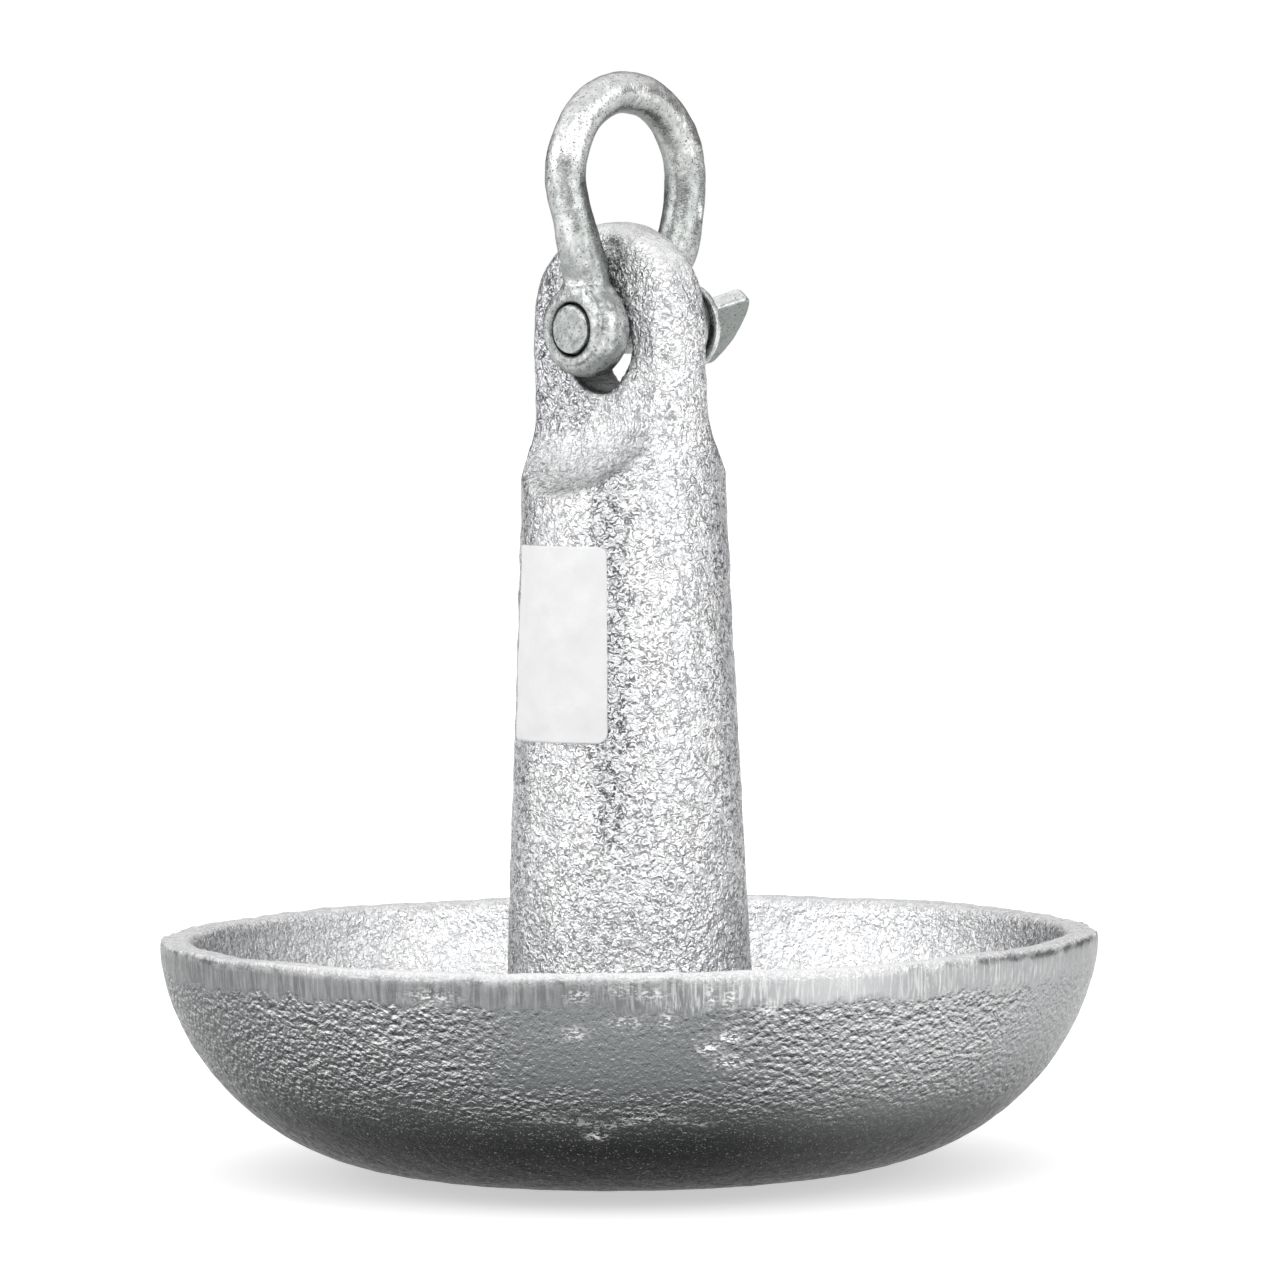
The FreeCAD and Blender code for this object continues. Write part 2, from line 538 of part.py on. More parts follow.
def tab_outline(body):
    """Thumb tab seen square on: it widens from the collar to two corners and a curved end."""
    sketch = new_sketch(body, "XZ_Plane", "tab_outline")
    root = size("jaw_width") / 2 + size("eye_thickness") + size("seat_clearance") + size("collar_thickness")
    corner, low, high = root + size("tab_reach"), size("tab_root_width") / 2, size("tab_width") / 2
    end = size("tab_end_radius")
    half_angle = math.asin(high / end)

    root_line = line(sketch, (root, -low), (root, low))
    upper_line = line(sketch, (root, low), (corner, high))
    end_arc = arc(sketch, (corner - end * math.cos(half_angle), 0), end, -half_angle, half_angle)
    lower_line = line(sketch, (corner, -high), (root, -low))

    relate(sketch, "Coincident", root_line, 2, upper_line, 1)
    relate(sketch, "Coincident", upper_line, 2, end_arc, 2)
    relate(sketch, "Coincident", end_arc, 1, lower_line, 1)
    relate(sketch, "Coincident", lower_line, 2, root_line, 1)
    relate(sketch, "Symmetric", root_line, 1, root_line, 2, -1)
    relate(sketch, "Symmetric", upper_line, 2, lower_line, 1, -1)
    drive(sketch, "root", "DistanceX", (-1, 1, root_line, 1), TAB_ROOT)
    drive(sketch, "root_width", "DistanceY", (root_line, 1, root_line, 2), "sizes.tab_root_width")
    drive(sketch, "reach", "DistanceX", (upper_line, 1, upper_line, 2), "sizes.tab_reach")
    drive(sketch, "width", "DistanceY", (lower_line, 1, upper_line, 2), "sizes.tab_width")
    drive(sketch, "end", "Radius", (end_arc,), "sizes.tab_end_radius")
    return sketch


def screw_pin():
    """Screw pin with collar and thumb tab, around the middle of the pin."""
    body = new_body("screw_pin")
    revolve(body, pin_section(body), "X_Axis", "pin")
    collar = size("collar_diameter") / 2
    seat = size("jaw_width") / 2 + size("eye_thickness") + size("seat_clearance")
    inner, outer = V(seat, 0, 0), V(seat + size("collar_thickness"), 0, 0)
    fillet(
        body,
        "sizes.collar_round",
        "collar_edges",
        lambda edge: is_ring(edge, collar, inner) or is_ring(edge, collar, outer),
    )
    tab = body.newObject("PartDesign::Pad", "tab")
    tab.Profile = tab_outline(body)
    tab.Midplane = True
    tab.setExpression("Length", "sizes.tab_thickness")
    doc.recompute()

    half, corner = size("tab_thickness") / 2, size("tab_width") / 2
    root = seat + size("collar_thickness")

    def is_tab_corner(edge):
        """Short edge through the tab's thickness at a corner."""
        first, last = edge.firstVertex().Point, edge.lastVertex().Point
        at_corner = abs(first.z - last.z) < NEAR and abs(abs(first.z) - corner) < NEAR
        return at_corner and abs(first.y - last.y) > half

    def is_tab_face_edge(edge):
        """Edge round either face of the tab, clear of the collar."""
        box = edge.BoundBox
        in_face = box.YLength < NEAR and abs(abs(box.YMin) - half) < NEAR
        return in_face and box.XMax > root + NEAR

    fillet(body, "sizes.tab_corner_round", "tab_corners", is_tab_corner)
    fillet(body, "sizes.tab_edge_round", "tab_edges", is_tab_face_edge)

    body.setExpression("Placement.Base.x", BOW_MIDDLE)
    body.setExpression("Placement.Base.z", PIN_HEIGHT)
    body.Placement = FreeCAD.Placement(body.Placement.Base, FreeCAD.Rotation(V(1, 0, 0), size("tab_turn")))
    body.setExpression("Placement.Rotation.Angle", "sizes.tab_turn")
    return body


def skin_section(body):
    """Section of a thin skin that lies on the whole taper of the shank."""
    sketch = new_sketch(body, "XZ_Plane", "skin_section")
    gap, thick = size("label_glue"), size("label_thickness")
    low, high = size("shank_root_diameter") / 2 + gap, size("head_diameter") / 2 + gap
    bottom, top = size("floor_wall"), below_top("head_length")

    low_line = line(sketch, (low, bottom), (low + thick, bottom))
    outer_line = line(sketch, (low + thick, bottom), (high + thick, top))
    top_line = line(sketch, (high + thick, top), (high, top))
    inner_line = line(sketch, (high, top), (low, bottom))

    relate(sketch, "Coincident", low_line, 2, outer_line, 1)
    relate(sketch, "Coincident", outer_line, 2, top_line, 1)
    relate(sketch, "Coincident", top_line, 2, inner_line, 1)
    relate(sketch, "Coincident", inner_line, 2, low_line, 1)
    relate(sketch, "Horizontal", low_line)
    relate(sketch, "Horizontal", top_line)
    drive(sketch, "bottom", "DistanceY", (-1, 1, low_line, 1), "sizes.floor_wall")
    drive(sketch, "top", "DistanceY", (-1, 1, top_line, 1), TAPER_END)
    low_radius = "sizes.shank_root_diameter / 2 + sizes.label_glue"
    high_radius = "sizes.head_diameter / 2 + sizes.label_glue"
    drive(sketch, "low", "DistanceX", (-1, 1, low_line, 1), low_radius)
    drive(sketch, "high", "DistanceX", (-1, 1, top_line, 2), high_radius)
    drive(sketch, "low_thickness", "DistanceX", (low_line, 1, low_line, 2), "sizes.label_thickness")
    drive(sketch, "top_thickness", "DistanceX", (top_line, 2, top_line, 1), "sizes.label_thickness")
    return sketch


def trim_outline(body):
    """Rounded outline of the sticker inside a frame as large as the casting, seen square on."""
    sketch = new_sketch(body, "YZ_Plane", "trim_outline")
    bar, root = size("head_diameter") / 2, size("shank_root_diameter") / 2
    bottom, height = size("label_bottom"), size("label_height")
    taper_end = below_top("head_length")
    taper = (root - bar) / (taper_end - size("floor_wall"))
    radius = bar + (taper_end - bottom - height / 2) * taper
    half = radius * math.sin(size("label_width") / 2 / radius)
    edge, top = size("label_corner_round"), bottom + height
    wide, high = 2 * root, size("anchor_top")

    frame = [(-wide, 0), (wide, 0), (wide, high), (-wide, high)]
    frame_lines = [line(sketch, frame[i - 1], frame[i]) for i in range(4)]
    side_ends = [
        ((edge - half, bottom), (half - edge, bottom)),
        ((half, bottom + edge), (half, top - edge)),
        ((half - edge, top), (edge - half, top)),
        ((-half, top - edge), (-half, bottom + edge)),
    ]
    sides = [line(sketch, start, end) for start, end in side_ends]
    centres = [(half, bottom + edge), (half, top - edge), (-half, top - edge), (-half, bottom + edge)]
    corners = []
    for i, (across, up) in enumerate(centres):
        centre = (across - math.copysign(edge, across), up)
        corners.append(arc(sketch, centre, edge, (i - 1) * math.pi / 2, i * math.pi / 2))

    for i in range(4):
        relate(sketch, "Coincident", frame_lines[i - 1], 2, frame_lines[i], 1)
        relate(sketch, "Vertical" if i % 2 == 0 else "Horizontal", frame_lines[i])
        relate(sketch, "Horizontal" if i % 2 == 0 else "Vertical", sides[i])
        relate(sketch, "Tangent", sides[i], 2, corners[i], 1)
        relate(sketch, "Tangent", corners[i], 2, sides[(i + 1) % 4], 1)
        drive(sketch, f"corner_{i}", "Radius", (corners[i],), "sizes.label_corner_round")
    relate(sketch, "Symmetric", frame_lines[1], 1, frame_lines[1], 2, -1, 1)
    frame_ends = (frame_lines[1], 1, frame_lines[1], 2)
    drive(sketch, "frame_width", "DistanceX", frame_ends, "2 * sizes.shank_root_diameter")
    drive(sketch, "frame_height", "DistanceY", (-1, 1, frame_lines[3], 1), "sizes.anchor_top")
    drive(sketch, "bottom", "DistanceY", (-1, 1, sides[0], 1), "sizes.label_bottom")
    drive(sketch, "height", "DistanceY", (sides[0], 1, sides[2], 1), "sizes.label_height")
    drive(sketch, "right_half", "DistanceX", (-1, 1, sides[1], 1), LABEL_HALF)
    drive(sketch, "left_half", "DistanceX", (sides[3], 1, -1, 1), LABEL_HALF)
    return sketch


def blank_label():
    """Blank sticker, trimmed from a skin that follows the shank's taper."""
    body = new_body("blank_label")
    skin = body.newObject("PartDesign::Revolution", "skin")
    skin.Profile = skin_section(body)
    skin.ReferenceAxis = (origin_item(body, "Z_Axis"), [""])
    skin.Midplane = True
    skin.Angle = SKIN_TURN
    doc.recompute()
    cut_across(body, trim_outline(body), "2 * sizes.shank_root_diameter", "trim")

    body.Placement = FreeCAD.Placement(V(0, 0, 0), FreeCAD.Rotation(V(0, 0, 1), size("label_side")))
    body.setExpression("Placement.Rotation.Angle", "sizes.label_side")
    return body


bodies = [anchor_casting(), shackle_bow(), screw_pin(), blank_label()]
doc.recompute()

failed = [item.Name for item in doc.Objects if {"Invalid", "Error"} & set(item.State)]
if failed:
    raise RuntimeError("failed objects: " + ", ".join(failed))
os.makedirs("parts", exist_ok=True)
for body in bodies:
    if body.Shape.isNull() or not body.Shape.isValid() or len(body.Shape.Solids) != 1:
        raise RuntimeError(body.Label + " is not one valid solid")
for body in bodies:
    body.Shape.exportStep(f"parts/{body.Label}.step")
    print(body.Label, "volume", round(body.Shape.Volume), "box", body.Shape.BoundBox)
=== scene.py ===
# Looks of the mushroom anchor: a rough silver-coated casting, a galvanised shackle and a blank sticker.
# Metres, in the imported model's own frame: Z up, the shackle's pin along X.
import json
import math
from types import SimpleNamespace

import bmesh
import bpy
import numpy as np
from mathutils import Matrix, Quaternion, Vector, noise
from mathutils.bvhtree import BVHTree


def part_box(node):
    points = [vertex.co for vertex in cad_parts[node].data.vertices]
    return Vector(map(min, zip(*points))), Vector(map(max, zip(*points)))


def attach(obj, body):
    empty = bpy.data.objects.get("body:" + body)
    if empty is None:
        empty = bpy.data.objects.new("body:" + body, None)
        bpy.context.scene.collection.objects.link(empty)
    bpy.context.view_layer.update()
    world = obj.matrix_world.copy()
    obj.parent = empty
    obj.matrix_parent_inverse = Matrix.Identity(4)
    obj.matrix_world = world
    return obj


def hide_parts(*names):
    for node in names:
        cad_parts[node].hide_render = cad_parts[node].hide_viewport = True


MM = 0.001

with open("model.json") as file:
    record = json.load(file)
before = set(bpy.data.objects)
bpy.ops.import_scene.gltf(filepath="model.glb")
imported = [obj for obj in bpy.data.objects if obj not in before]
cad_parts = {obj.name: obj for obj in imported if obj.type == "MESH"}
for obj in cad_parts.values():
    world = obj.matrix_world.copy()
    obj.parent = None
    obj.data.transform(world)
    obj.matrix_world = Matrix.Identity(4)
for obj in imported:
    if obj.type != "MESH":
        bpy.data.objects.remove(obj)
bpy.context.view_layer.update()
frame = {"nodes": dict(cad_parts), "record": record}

# Sizes of the solids, repeated where the frame doesn't give them.
RIM_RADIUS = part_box("anchor_casting")[1].x
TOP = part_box("anchor_casting")[1].z
BOWL_DEPTH = 56.9 * MM
SHANK_REACH = 33.0 * MM
PIN_AXIS = Vector(frame["record"]["behaviour"]["joints"][0]["pos_m"])
HOLE_HEIGHT = TOP - 29.5 * MM
HOLE_RADIUS = 11.0 * MM
ROD_RADIUS = 5.0 * MM
PIN_RADIUS = 6.1 * MM
EYE_FACE = 19.35 * MM
LEG_FOOT, LEG_TOP = 13.9 * MM, 20.3 * MM
LEG_RISE = 8.5 * MM, 36.0 * MM

# Direction that the camera looks along, and picture right, on level ground.
SIGHT = Vector((1.0, 1.0, 0.0)).normalized()
PICTURE_RIGHT = Vector((1.0, -1.0, 0.0)).normalized()

# Even mesh size of each piece.
CASTING_VOXEL = 1.45 * MM
BOW_VOXEL = 0.5 * MM
PIN_VOXEL = 0.3 * MM
WELD = 0.001 * MM


def smoothstep(low, high, value):
    """0 below low, 1 above high, and smooth between. Takes arrays too."""
    t = np.clip((np.asarray(value) - low) / (high - low), 0.0, 1.0)
    return t * t * (3.0 - 2.0 * t)


def between(value, rise_from, rise_to, fall_from, fall_to):
    """1 inside a range, 0 outside it, and smooth at both ends."""
    return smoothstep(rise_from, rise_to, value) * (1 - smoothstep(fall_from, fall_to, value))


def bump_at(value, middle, half_width):
    """Round bump of height 1 at middle."""
    return np.exp(-(((np.asarray(value) - middle) / half_width) ** 2))


def wobble(places, length, seed):
    """Smooth noise from about -1 to 1 at each place. Its swells are about length apart."""
    offset = Vector((13.7 * seed, 5.1 * seed, 9.3 * seed))
    scale = 1.0 / length
    return np.array([noise.noise(Vector(p) * scale + offset) for p in places]) * 1.6


def mesh_arrays(mesh):
    """Places, normals and edges of a mesh as arrays."""
    count = len(mesh.vertices)
    places, normals = np.zeros(count * 3), np.zeros(count * 3)
    edges = np.zeros(len(mesh.edges) * 2, dtype=np.int64)
    mesh.vertices.foreach_get("co", places)
    mesh.vertices.foreach_get("normal", normals)
    mesh.edges.foreach_get("vertices", edges)
    return places.reshape(-1, 3), normals.reshape(-1, 3), edges.reshape(-1, 2)


def set_places(mesh, places):
    """Move the points of a mesh."""
    mesh.vertices.foreach_set("co", np.ascontiguousarray(places, dtype=np.float64).ravel())
    mesh.update()


def relax(places, edges, rounds, share=1.0):
    """Smooth a mesh. Each round moves places towards their neighbours' middle and then back out again."""
    count = len(places)
    ends = np.concatenate([edges[:, 0], edges[:, 1]])
    others = np.concatenate([edges[:, 1], edges[:, 0]])
    valence = np.maximum(np.bincount(ends, minlength=count), 1)[:, None]
    for step in (0.5, -0.52) * rounds:
        sums = [np.bincount(ends, places[others, i], count) for i in range(3)]
        middle = np.stack(sums, axis=1) / valence
        places = places + step * np.reshape(share, (-1, 1)) * (middle - places)
    return places


def even_copy(name, node, voxel):
    """A new object with the shape of a CAD solid, meshed evenly."""
    mesh = frame["nodes"][node].data.copy()
    welded = bmesh.new()
    welded.from_mesh(mesh)
    bmesh.ops.remove_doubles(welded, verts=welded.verts, dist=WELD)
    welded.to_mesh(mesh)
    welded.free()
    piece = bpy.data.objects.new(name, mesh)
    bpy.context.scene.collection.objects.link(piece)
    even = piece.modifiers.new("even", "REMESH")
    even.mode = "VOXEL"
    even.voxel_size = voxel
    bpy.context.view_layer.update()
    made = bpy.data.meshes.new_from_object(piece.evaluated_get(bpy.context.evaluated_depsgraph_get()))
    piece.modifiers.clear()
    piece.data = made
    bpy.data.meshes.remove(mesh)
    made.name = name
    made.materials.clear()
    made.polygons.foreach_set("use_smooth", [True] * len(made.polygons))
    return piece


def keep_inside(places, node):
    """Hold places inside the box of the CAD solid that they stand for."""
    low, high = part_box(node)
    return np.clip(places, np.array(low), np.array(high))


def paint(mesh, paints):
    """Store named numbers for each point, which a material reads by name."""
    for name, values in paints.items():
        layer = mesh.attributes.new(name, "FLOAT", "POINT")
        layer.data.foreach_set("value", np.ascontiguousarray(values, dtype=np.float32))


def dress(piece, node, body, material):
    """Give a piece its material, hide the CAD solid that it stands for, and hang it on its body."""
    piece.data.materials.append(material)
    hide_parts(node)
    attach(piece, body)


# Materials


def new_material(name):
    """Empty node material with its Principled shader and object coordinates."""
    material = bpy.data.materials.new(name)
    material.use_nodes = True
    tree = material.node_tree
    shader = tree.nodes["Principled BSDF"]
    coords = tree.nodes.new("ShaderNodeTexCoord").outputs["Object"]
    return material, tree, shader, coords


def add_node(tree, kind, links=None, values=None, **settings):
    """Node with its settings, its input values and what is wired into its inputs."""
    made = tree.nodes.new(kind)
    for key, value in settings.items():
        setattr(made, key, value)
    for key, value in (values or {}).items():
        made.inputs[key].default_value = value
    for key, socket in (links or {}).items():
        tree.links.new(socket, made.inputs[key])
    return made


def stretched(tree, coords, scale):
    """Coordinates scaled by axis, so that a pattern comes out longer along the axes with a small scale."""
    return add_node(tree, "ShaderNodeMapping", {"Vector": coords}, {"Scale": scale}).outputs["Vector"]


def grain(tree, coords, size, detail=2.0, roughness=0.5, distortion=0.0):
    """Noise from 0 to 1 whose swells are about size apart."""
    values = {"Scale": 1.0 / size, "Detail": detail, "Roughness": roughness, "Distortion": distortion}
    return add_node(tree, "ShaderNodeTexNoise", {"Vector": coords}, values).outputs["Fac"]


def ramp(tree, socket, low, high, start=0.0, end=1.0):
    """Socket mapped smoothly from low..high to start..end, and held at the ends."""
    values = {"From Min": low, "From Max": high, "To Min": start, "To Max": end}
    made = add_node(tree, "ShaderNodeMapRange", {"Value": socket}, values, interpolation_type="SMOOTHSTEP")
    return made.outputs["Result"]


def calc(tree, operation, first, second=0.0):
    """Math node. Each input is a socket or a number."""
    made = tree.nodes.new("ShaderNodeMath")
    made.operation = operation
    for slot_index, item in enumerate((first, second)):
        if isinstance(item, (int, float)):
            made.inputs[slot_index].default_value = item
        else:
            tree.links.new(item, made.inputs[slot_index])
    return made.outputs[0]


def times(tree, first, *others):
    """Product of sockets and numbers."""
    for other in others:
        first = calc(tree, "MULTIPLY", first, other)
    return first


def rest_of(tree, socket, share=1.0):
    """What a share of the socket leaves of 1."""
    return calc(tree, "SUBTRACT", 1.0, times(tree, socket, share))


def blend_colour(tree, factor, first, second):
    """Mix of two colours, each a socket or three numbers."""
    made = tree.nodes.new("ShaderNodeMix")
    made.data_type = "RGBA"
    tree.links.new(factor, made.inputs["Factor"])
    for socket, item in ((made.inputs[6], first), (made.inputs[7], second)):
        if isinstance(item, tuple):
            socket.default_value = (*item, 1.0)
        else:
            tree.links.new(item, socket)
    return made.outputs[2]


def blend_way(tree, factor, first, second):
    """Mix of two directions."""
    made = tree.nodes.new("ShaderNodeMix")
    made.data_type = "VECTOR"
    tree.links.new(factor, made.inputs["Factor"])
    tree.links.new(first, made.inputs[4])
    tree.links.new(second, made.inputs[5])
    return made.outputs[1]


def height_of(tree, way):
    """How far a direction points up."""
    return add_node(tree, "ShaderNodeSeparateXYZ", {"Vector": way}).outputs["Z"]


def share_along(tree, way, axis):
    """How far a direction points along an axis."""
    made = add_node(tree, "ShaderNodeVectorMath", {0: way}, {1: axis}, operation="DOT_PRODUCT")
    return made.outputs["Value"]


def tilt(tree, way):
    """How much further up than the surface itself a bent normal points."""
    level = tree.nodes.new("ShaderNodeNewGeometry").outputs["Normal"]
    return calc(tree, "SUBTRACT", height_of(tree, way), height_of(tree, level))


def painted(tree, name):
    """Number that a piece carries at each point."""
    return add_node(tree, "ShaderNodeAttribute", attribute_name=name).outputs["Fac"]


def creases(tree, socket, width):
    """1 in thin lines where the noise passes its middle value, 0 elsewhere."""
    away = calc(tree, "ABSOLUTE", calc(tree, "SUBTRACT", socket, 0.5))
    return ramp(tree, away, 0.0, width, 1.0, 0.0)


def bump(tree, height, distance, below=None, share=None):
    """Normal bent by a height from 0 to 1 that stands for a distance. Share makes it weaker by place."""
    made = add_node(tree, "ShaderNodeBump", {"Height": height}, {"Distance": distance})
    if below is not None:
        tree.links.new(below, made.inputs["Normal"])
    if share is not None:
        tree.links.new(share, made.inputs["Strength"])
    return made.outputs["Normal"]


def pebbles(tree, coords, size):
    """Height from 0 to 1 of round lumps about size apart."""
    values = {"Scale": 1.0 / size, "Smoothness": 0.45, "Randomness": 1.0}
    made = add_node(tree, "ShaderNodeTexVoronoi", {"Vector": coords}, values, feature="SMOOTH_F1")
    return calc(tree, "SUBTRACT", 1.0, made.outputs["Distance"])


# Silver coat: its shades, its colour where wear and painted shade darken it, painted shade on its relief, the
# white of its flash and painted highlights, and painted shade in the hole.
COAT_PALE, COAT_WHITE = (0.93, 0.935, 0.95), (0.97, 0.97, 0.975)
COAT_WORN_AND_SHADED = (0.50, 0.51, 0.54)
COAT_PAINTED_SHADE = (0.045, 0.048, 0.055)
FLASH_AND_HIGHLIGHT_WHITE = (0.93, 0.93, 0.93)
HOLE_SHADE = (0.17, 0.175, 0.175)

# Skin outside the bowl from the rim down, with painted shade towards the bottom, painted side light and
# shade, painted shade and highlights on its lumps, and what lies on it.
SKIN_HIGH, SKIN_LOW_SHADED, SKIN_BOTTOM_SHADED = (0.205, 0.213, 0.217), (0.14, 0.147, 0.149), (0.013, 0.0145, 0.013)
SKIN_SIDE_SHADE, SKIN_SIDE_LIGHT = (0.030, 0.031, 0.031), (0.62, 0.625, 0.63)
SKIN_DOWNFACING_SHADE, SKIN_UPFACING_HIGHLIGHT = (0.012, 0.013, 0.013), (0.85, 0.855, 0.86)
BAND_STREAK, BAND_VEIL = (0.66, 0.665, 0.66), (0.40, 0.41, 0.415)
DUST_GREY, CHIP_WHITE = (0.50, 0.51, 0.50), (0.97, 0.97, 0.97)

# Sizes and depths of the casting's fine relief.
SAND_SIZE, SAND_DEPTH = 0.5 * MM, 0.10 * MM
WORM_SIZE, WORM_DEPTH = 1.5 * MM, 0.85 * MM
FINE_WORM_SIZE, FINE_WORM_DEPTH = 0.65 * MM, 0.28 * MM
LUMP_SIZE, HAMMER_SIZE, HAMMER_DEPTH = 1.35 * MM, 1.6 * MM, 0.62 * MM
FINE_HAMMER_SIZE, FINE_HAMMER_DEPTH = 0.65 * MM, 0.26 * MM
HATCH_SIZE, HATCH_DEPTH, HATCH_DEPTH_IN_BAND = 0.55 * MM, 0.16 * MM, 0.03 * MM
STREAK_SIZE, STREAK_DEPTH, VEIL_SIZE = 0.6 * MM, 0.13 * MM, 1.9 * MM
PATCH_SIZE, BREAK_SIZE, DUST_SIZE, FLECK_SIZE, DULL_SIZE = 14 * MM, 2.6 * MM, 0.55 * MM, 1.3 * MM, 1.6 * MM

# Names of what casting_paints stores and the material reads.
CASTING_PAINTS = ("outside", "band", "streaky", "calm", "chips", "flash",
                  "smooth", "worn", "under", "painted_side_light", "painted_side_shade", "painted_hole_shade")


def coat_relief(tree, coords, sand, coarse):
    """Worm-like wrinkles of the coated sand skin, as noise and as a bent normal."""
    worms = grain(tree, coords, WORM_SIZE, 2.0, 0.5, 0.8)
    fine = bump(tree, grain(tree, coords, FINE_WORM_SIZE, 2.0, 0.5, 0.6), FINE_WORM_DEPTH, sand, coarse)
    return worms, bump(tree, worms, WORM_DEPTH, fine, coarse)


def skin_relief(tree, coords, sand, marks):
    """Hammered skin outside the bowl, with upright streaks in the band under the rim."""
    lively = rest_of(tree, marks["calm"], 0.82)
    flat = stretched(tree, coords, (0.85, 0.85, 1.0))
    lumps = times(tree, pebbles(tree, flat, LUMP_SIZE), 0.6)
    hammer = calc(tree, "ADD", lumps, times(tree, grain(tree, flat, HAMMER_SIZE, 2.0, 0.5, 0.6), 0.7))
    fine = bump(tree, grain(tree, flat, FINE_HAMMER_SIZE, 2.0, 0.5, 0.4), FINE_HAMMER_DEPTH, sand, lively)
    hatch = grain(tree, stretched(tree, coords, (1.0, 1.0, 0.35)), HATCH_SIZE, 2.0, 0.6)
    beaten = bump(tree, hatch, HATCH_DEPTH, bump(tree, hammer, HAMMER_DEPTH, fine, lively), marks["calm"])
    streaks = grain(tree, stretched(tree, coords, (1.0, 1.0, 0.05)), STREAK_SIZE, 3.0, 0.6)
    striae = bump(tree, streaks, STREAK_DEPTH, bump(tree, hatch, HATCH_DEPTH_IN_BAND, sand))
    return streaks, blend_way(tree, marks["band"], beaten, striae)


def coat_colour(tree, coords, marks, coarse, worms, rough):
    """Silver coat of pale patches, darker where wear and painted shade fall, whiter on the flash and painted
    highlights, with painted shade on the down-facing side of its relief and in thin lines along its wrinkles,
    broken up by noise.
    """
    patches = ramp(tree, grain(tree, coords, PATCH_SIZE, 3.0), 0.35, 0.65)
    coat = blend_colour(tree, patches, COAT_PALE, COAT_WHITE)
    coat = blend_colour(tree, ramp(tree, marks["worn"], 0.5, 1.0, 0.0, 0.36), coat, COAT_WORN_AND_SHADED)
    coat = blend_colour(tree, marks["flash"], coat, FLASH_AND_HIGHLIGHT_WHITE)
    # Painted shade: dark on the down-facing side of each wrinkle and in thin lines along the wrinkles, broken
    # by noise.
    broken = ramp(tree, grain(tree, coords, BREAK_SIZE, 2.0), 0.38, 0.56, 0.38, 1.0)
    crease_shade = times(tree, creases(tree, worms, 0.100), broken, coarse)
    painted_shade = calc(tree, "MAXIMUM", ramp(tree, tilt(tree, rough), -0.07, -0.36, 0.0, 0.85), crease_shade)
    painted_shade = times(tree, painted_shade, ramp(tree, marks["worn"], 0.0, 1.0, 0.74, 1.0))
    painted_shade = times(tree, painted_shade, rest_of(tree, marks["flash"], 0.85))
    return blend_colour(tree, painted_shade, coat, COAT_PAINTED_SHADE)


def lumpy_colour(tree, marks, outer):
    """Skin outside the bowl with painted shade towards the bottom, on its left side and on its lumps'
    down-facing sides, and painted light on its right side and its lumps' tops.
    """
    upward = tilt(tree, outer)
    # Painted shade: the skin darkens towards the bottom of the bowl.
    skin = blend_colour(tree, ramp(tree, marks["under"], 0.15, 0.55), SKIN_HIGH, SKIN_LOW_SHADED)
    skin = blend_colour(tree, ramp(tree, marks["under"], 0.39, 0.75), skin, SKIN_BOTTOM_SHADED)
    # Painted shade on the left side, painted light on the right side.
    skin = blend_colour(tree, marks["painted_side_shade"], skin, SKIN_SIDE_SHADE)
    skin = blend_colour(tree, marks["painted_side_light"], skin, SKIN_SIDE_LIGHT)
    # Painted shade on the lumps' down-facing sides and painted highlight on their up-facing tops, with fewer
    # highlights towards the bottom.
    skin = blend_colour(tree, ramp(tree, upward, 0.0, -0.26, 0.0, 0.85), skin, SKIN_DOWNFACING_SHADE)
    highlight_share = ramp(tree, marks["under"], 0.30, 0.85, 0.85, 0.20)
    return blend_colour(tree, times(tree, ramp(tree, upward, 0.11, 0.36), highlight_share), skin, SKIN_UPFACING_HIGHLIGHT)


def marked_colour(tree, coords, marks, streaks, skin):
    """Runs of coat in the band, dust near the bottom and ragged chips of thick coat, over the skin."""
    bright = times(tree, marks["band"], marks["streaky"], ramp(tree, streaks, 0.46, 0.68))
    skin = blend_colour(tree, times(tree, bright, 0.8), skin, BAND_STREAK)
    slow = grain(tree, stretched(tree, coords, (1.0, 1.0, 0.04)), VEIL_SIZE, 2.0, 0.6)
    veil = times(tree, marks["band"], ramp(tree, slow, 0.42, 0.62, 0.0, 0.32))
    skin = blend_colour(tree, veil, skin, BAND_VEIL)
    specks = ramp(tree, grain(tree, coords, DUST_SIZE, 1.0), 0.66, 0.72)
    dust = times(tree, specks, ramp(tree, marks["under"], 0.4, 0.6), 0.45)
    skin = blend_colour(tree, dust, skin, DUST_GREY)
    flecks = grain(tree, stretched(tree, coords, (1.0, 1.0, 2.4)), FLECK_SIZE, 2.0, 0.6)
    return blend_colour(tree, times(tree, marks["chips"], ramp(tree, flecks, 0.50, 0.57)), skin, CHIP_WHITE)


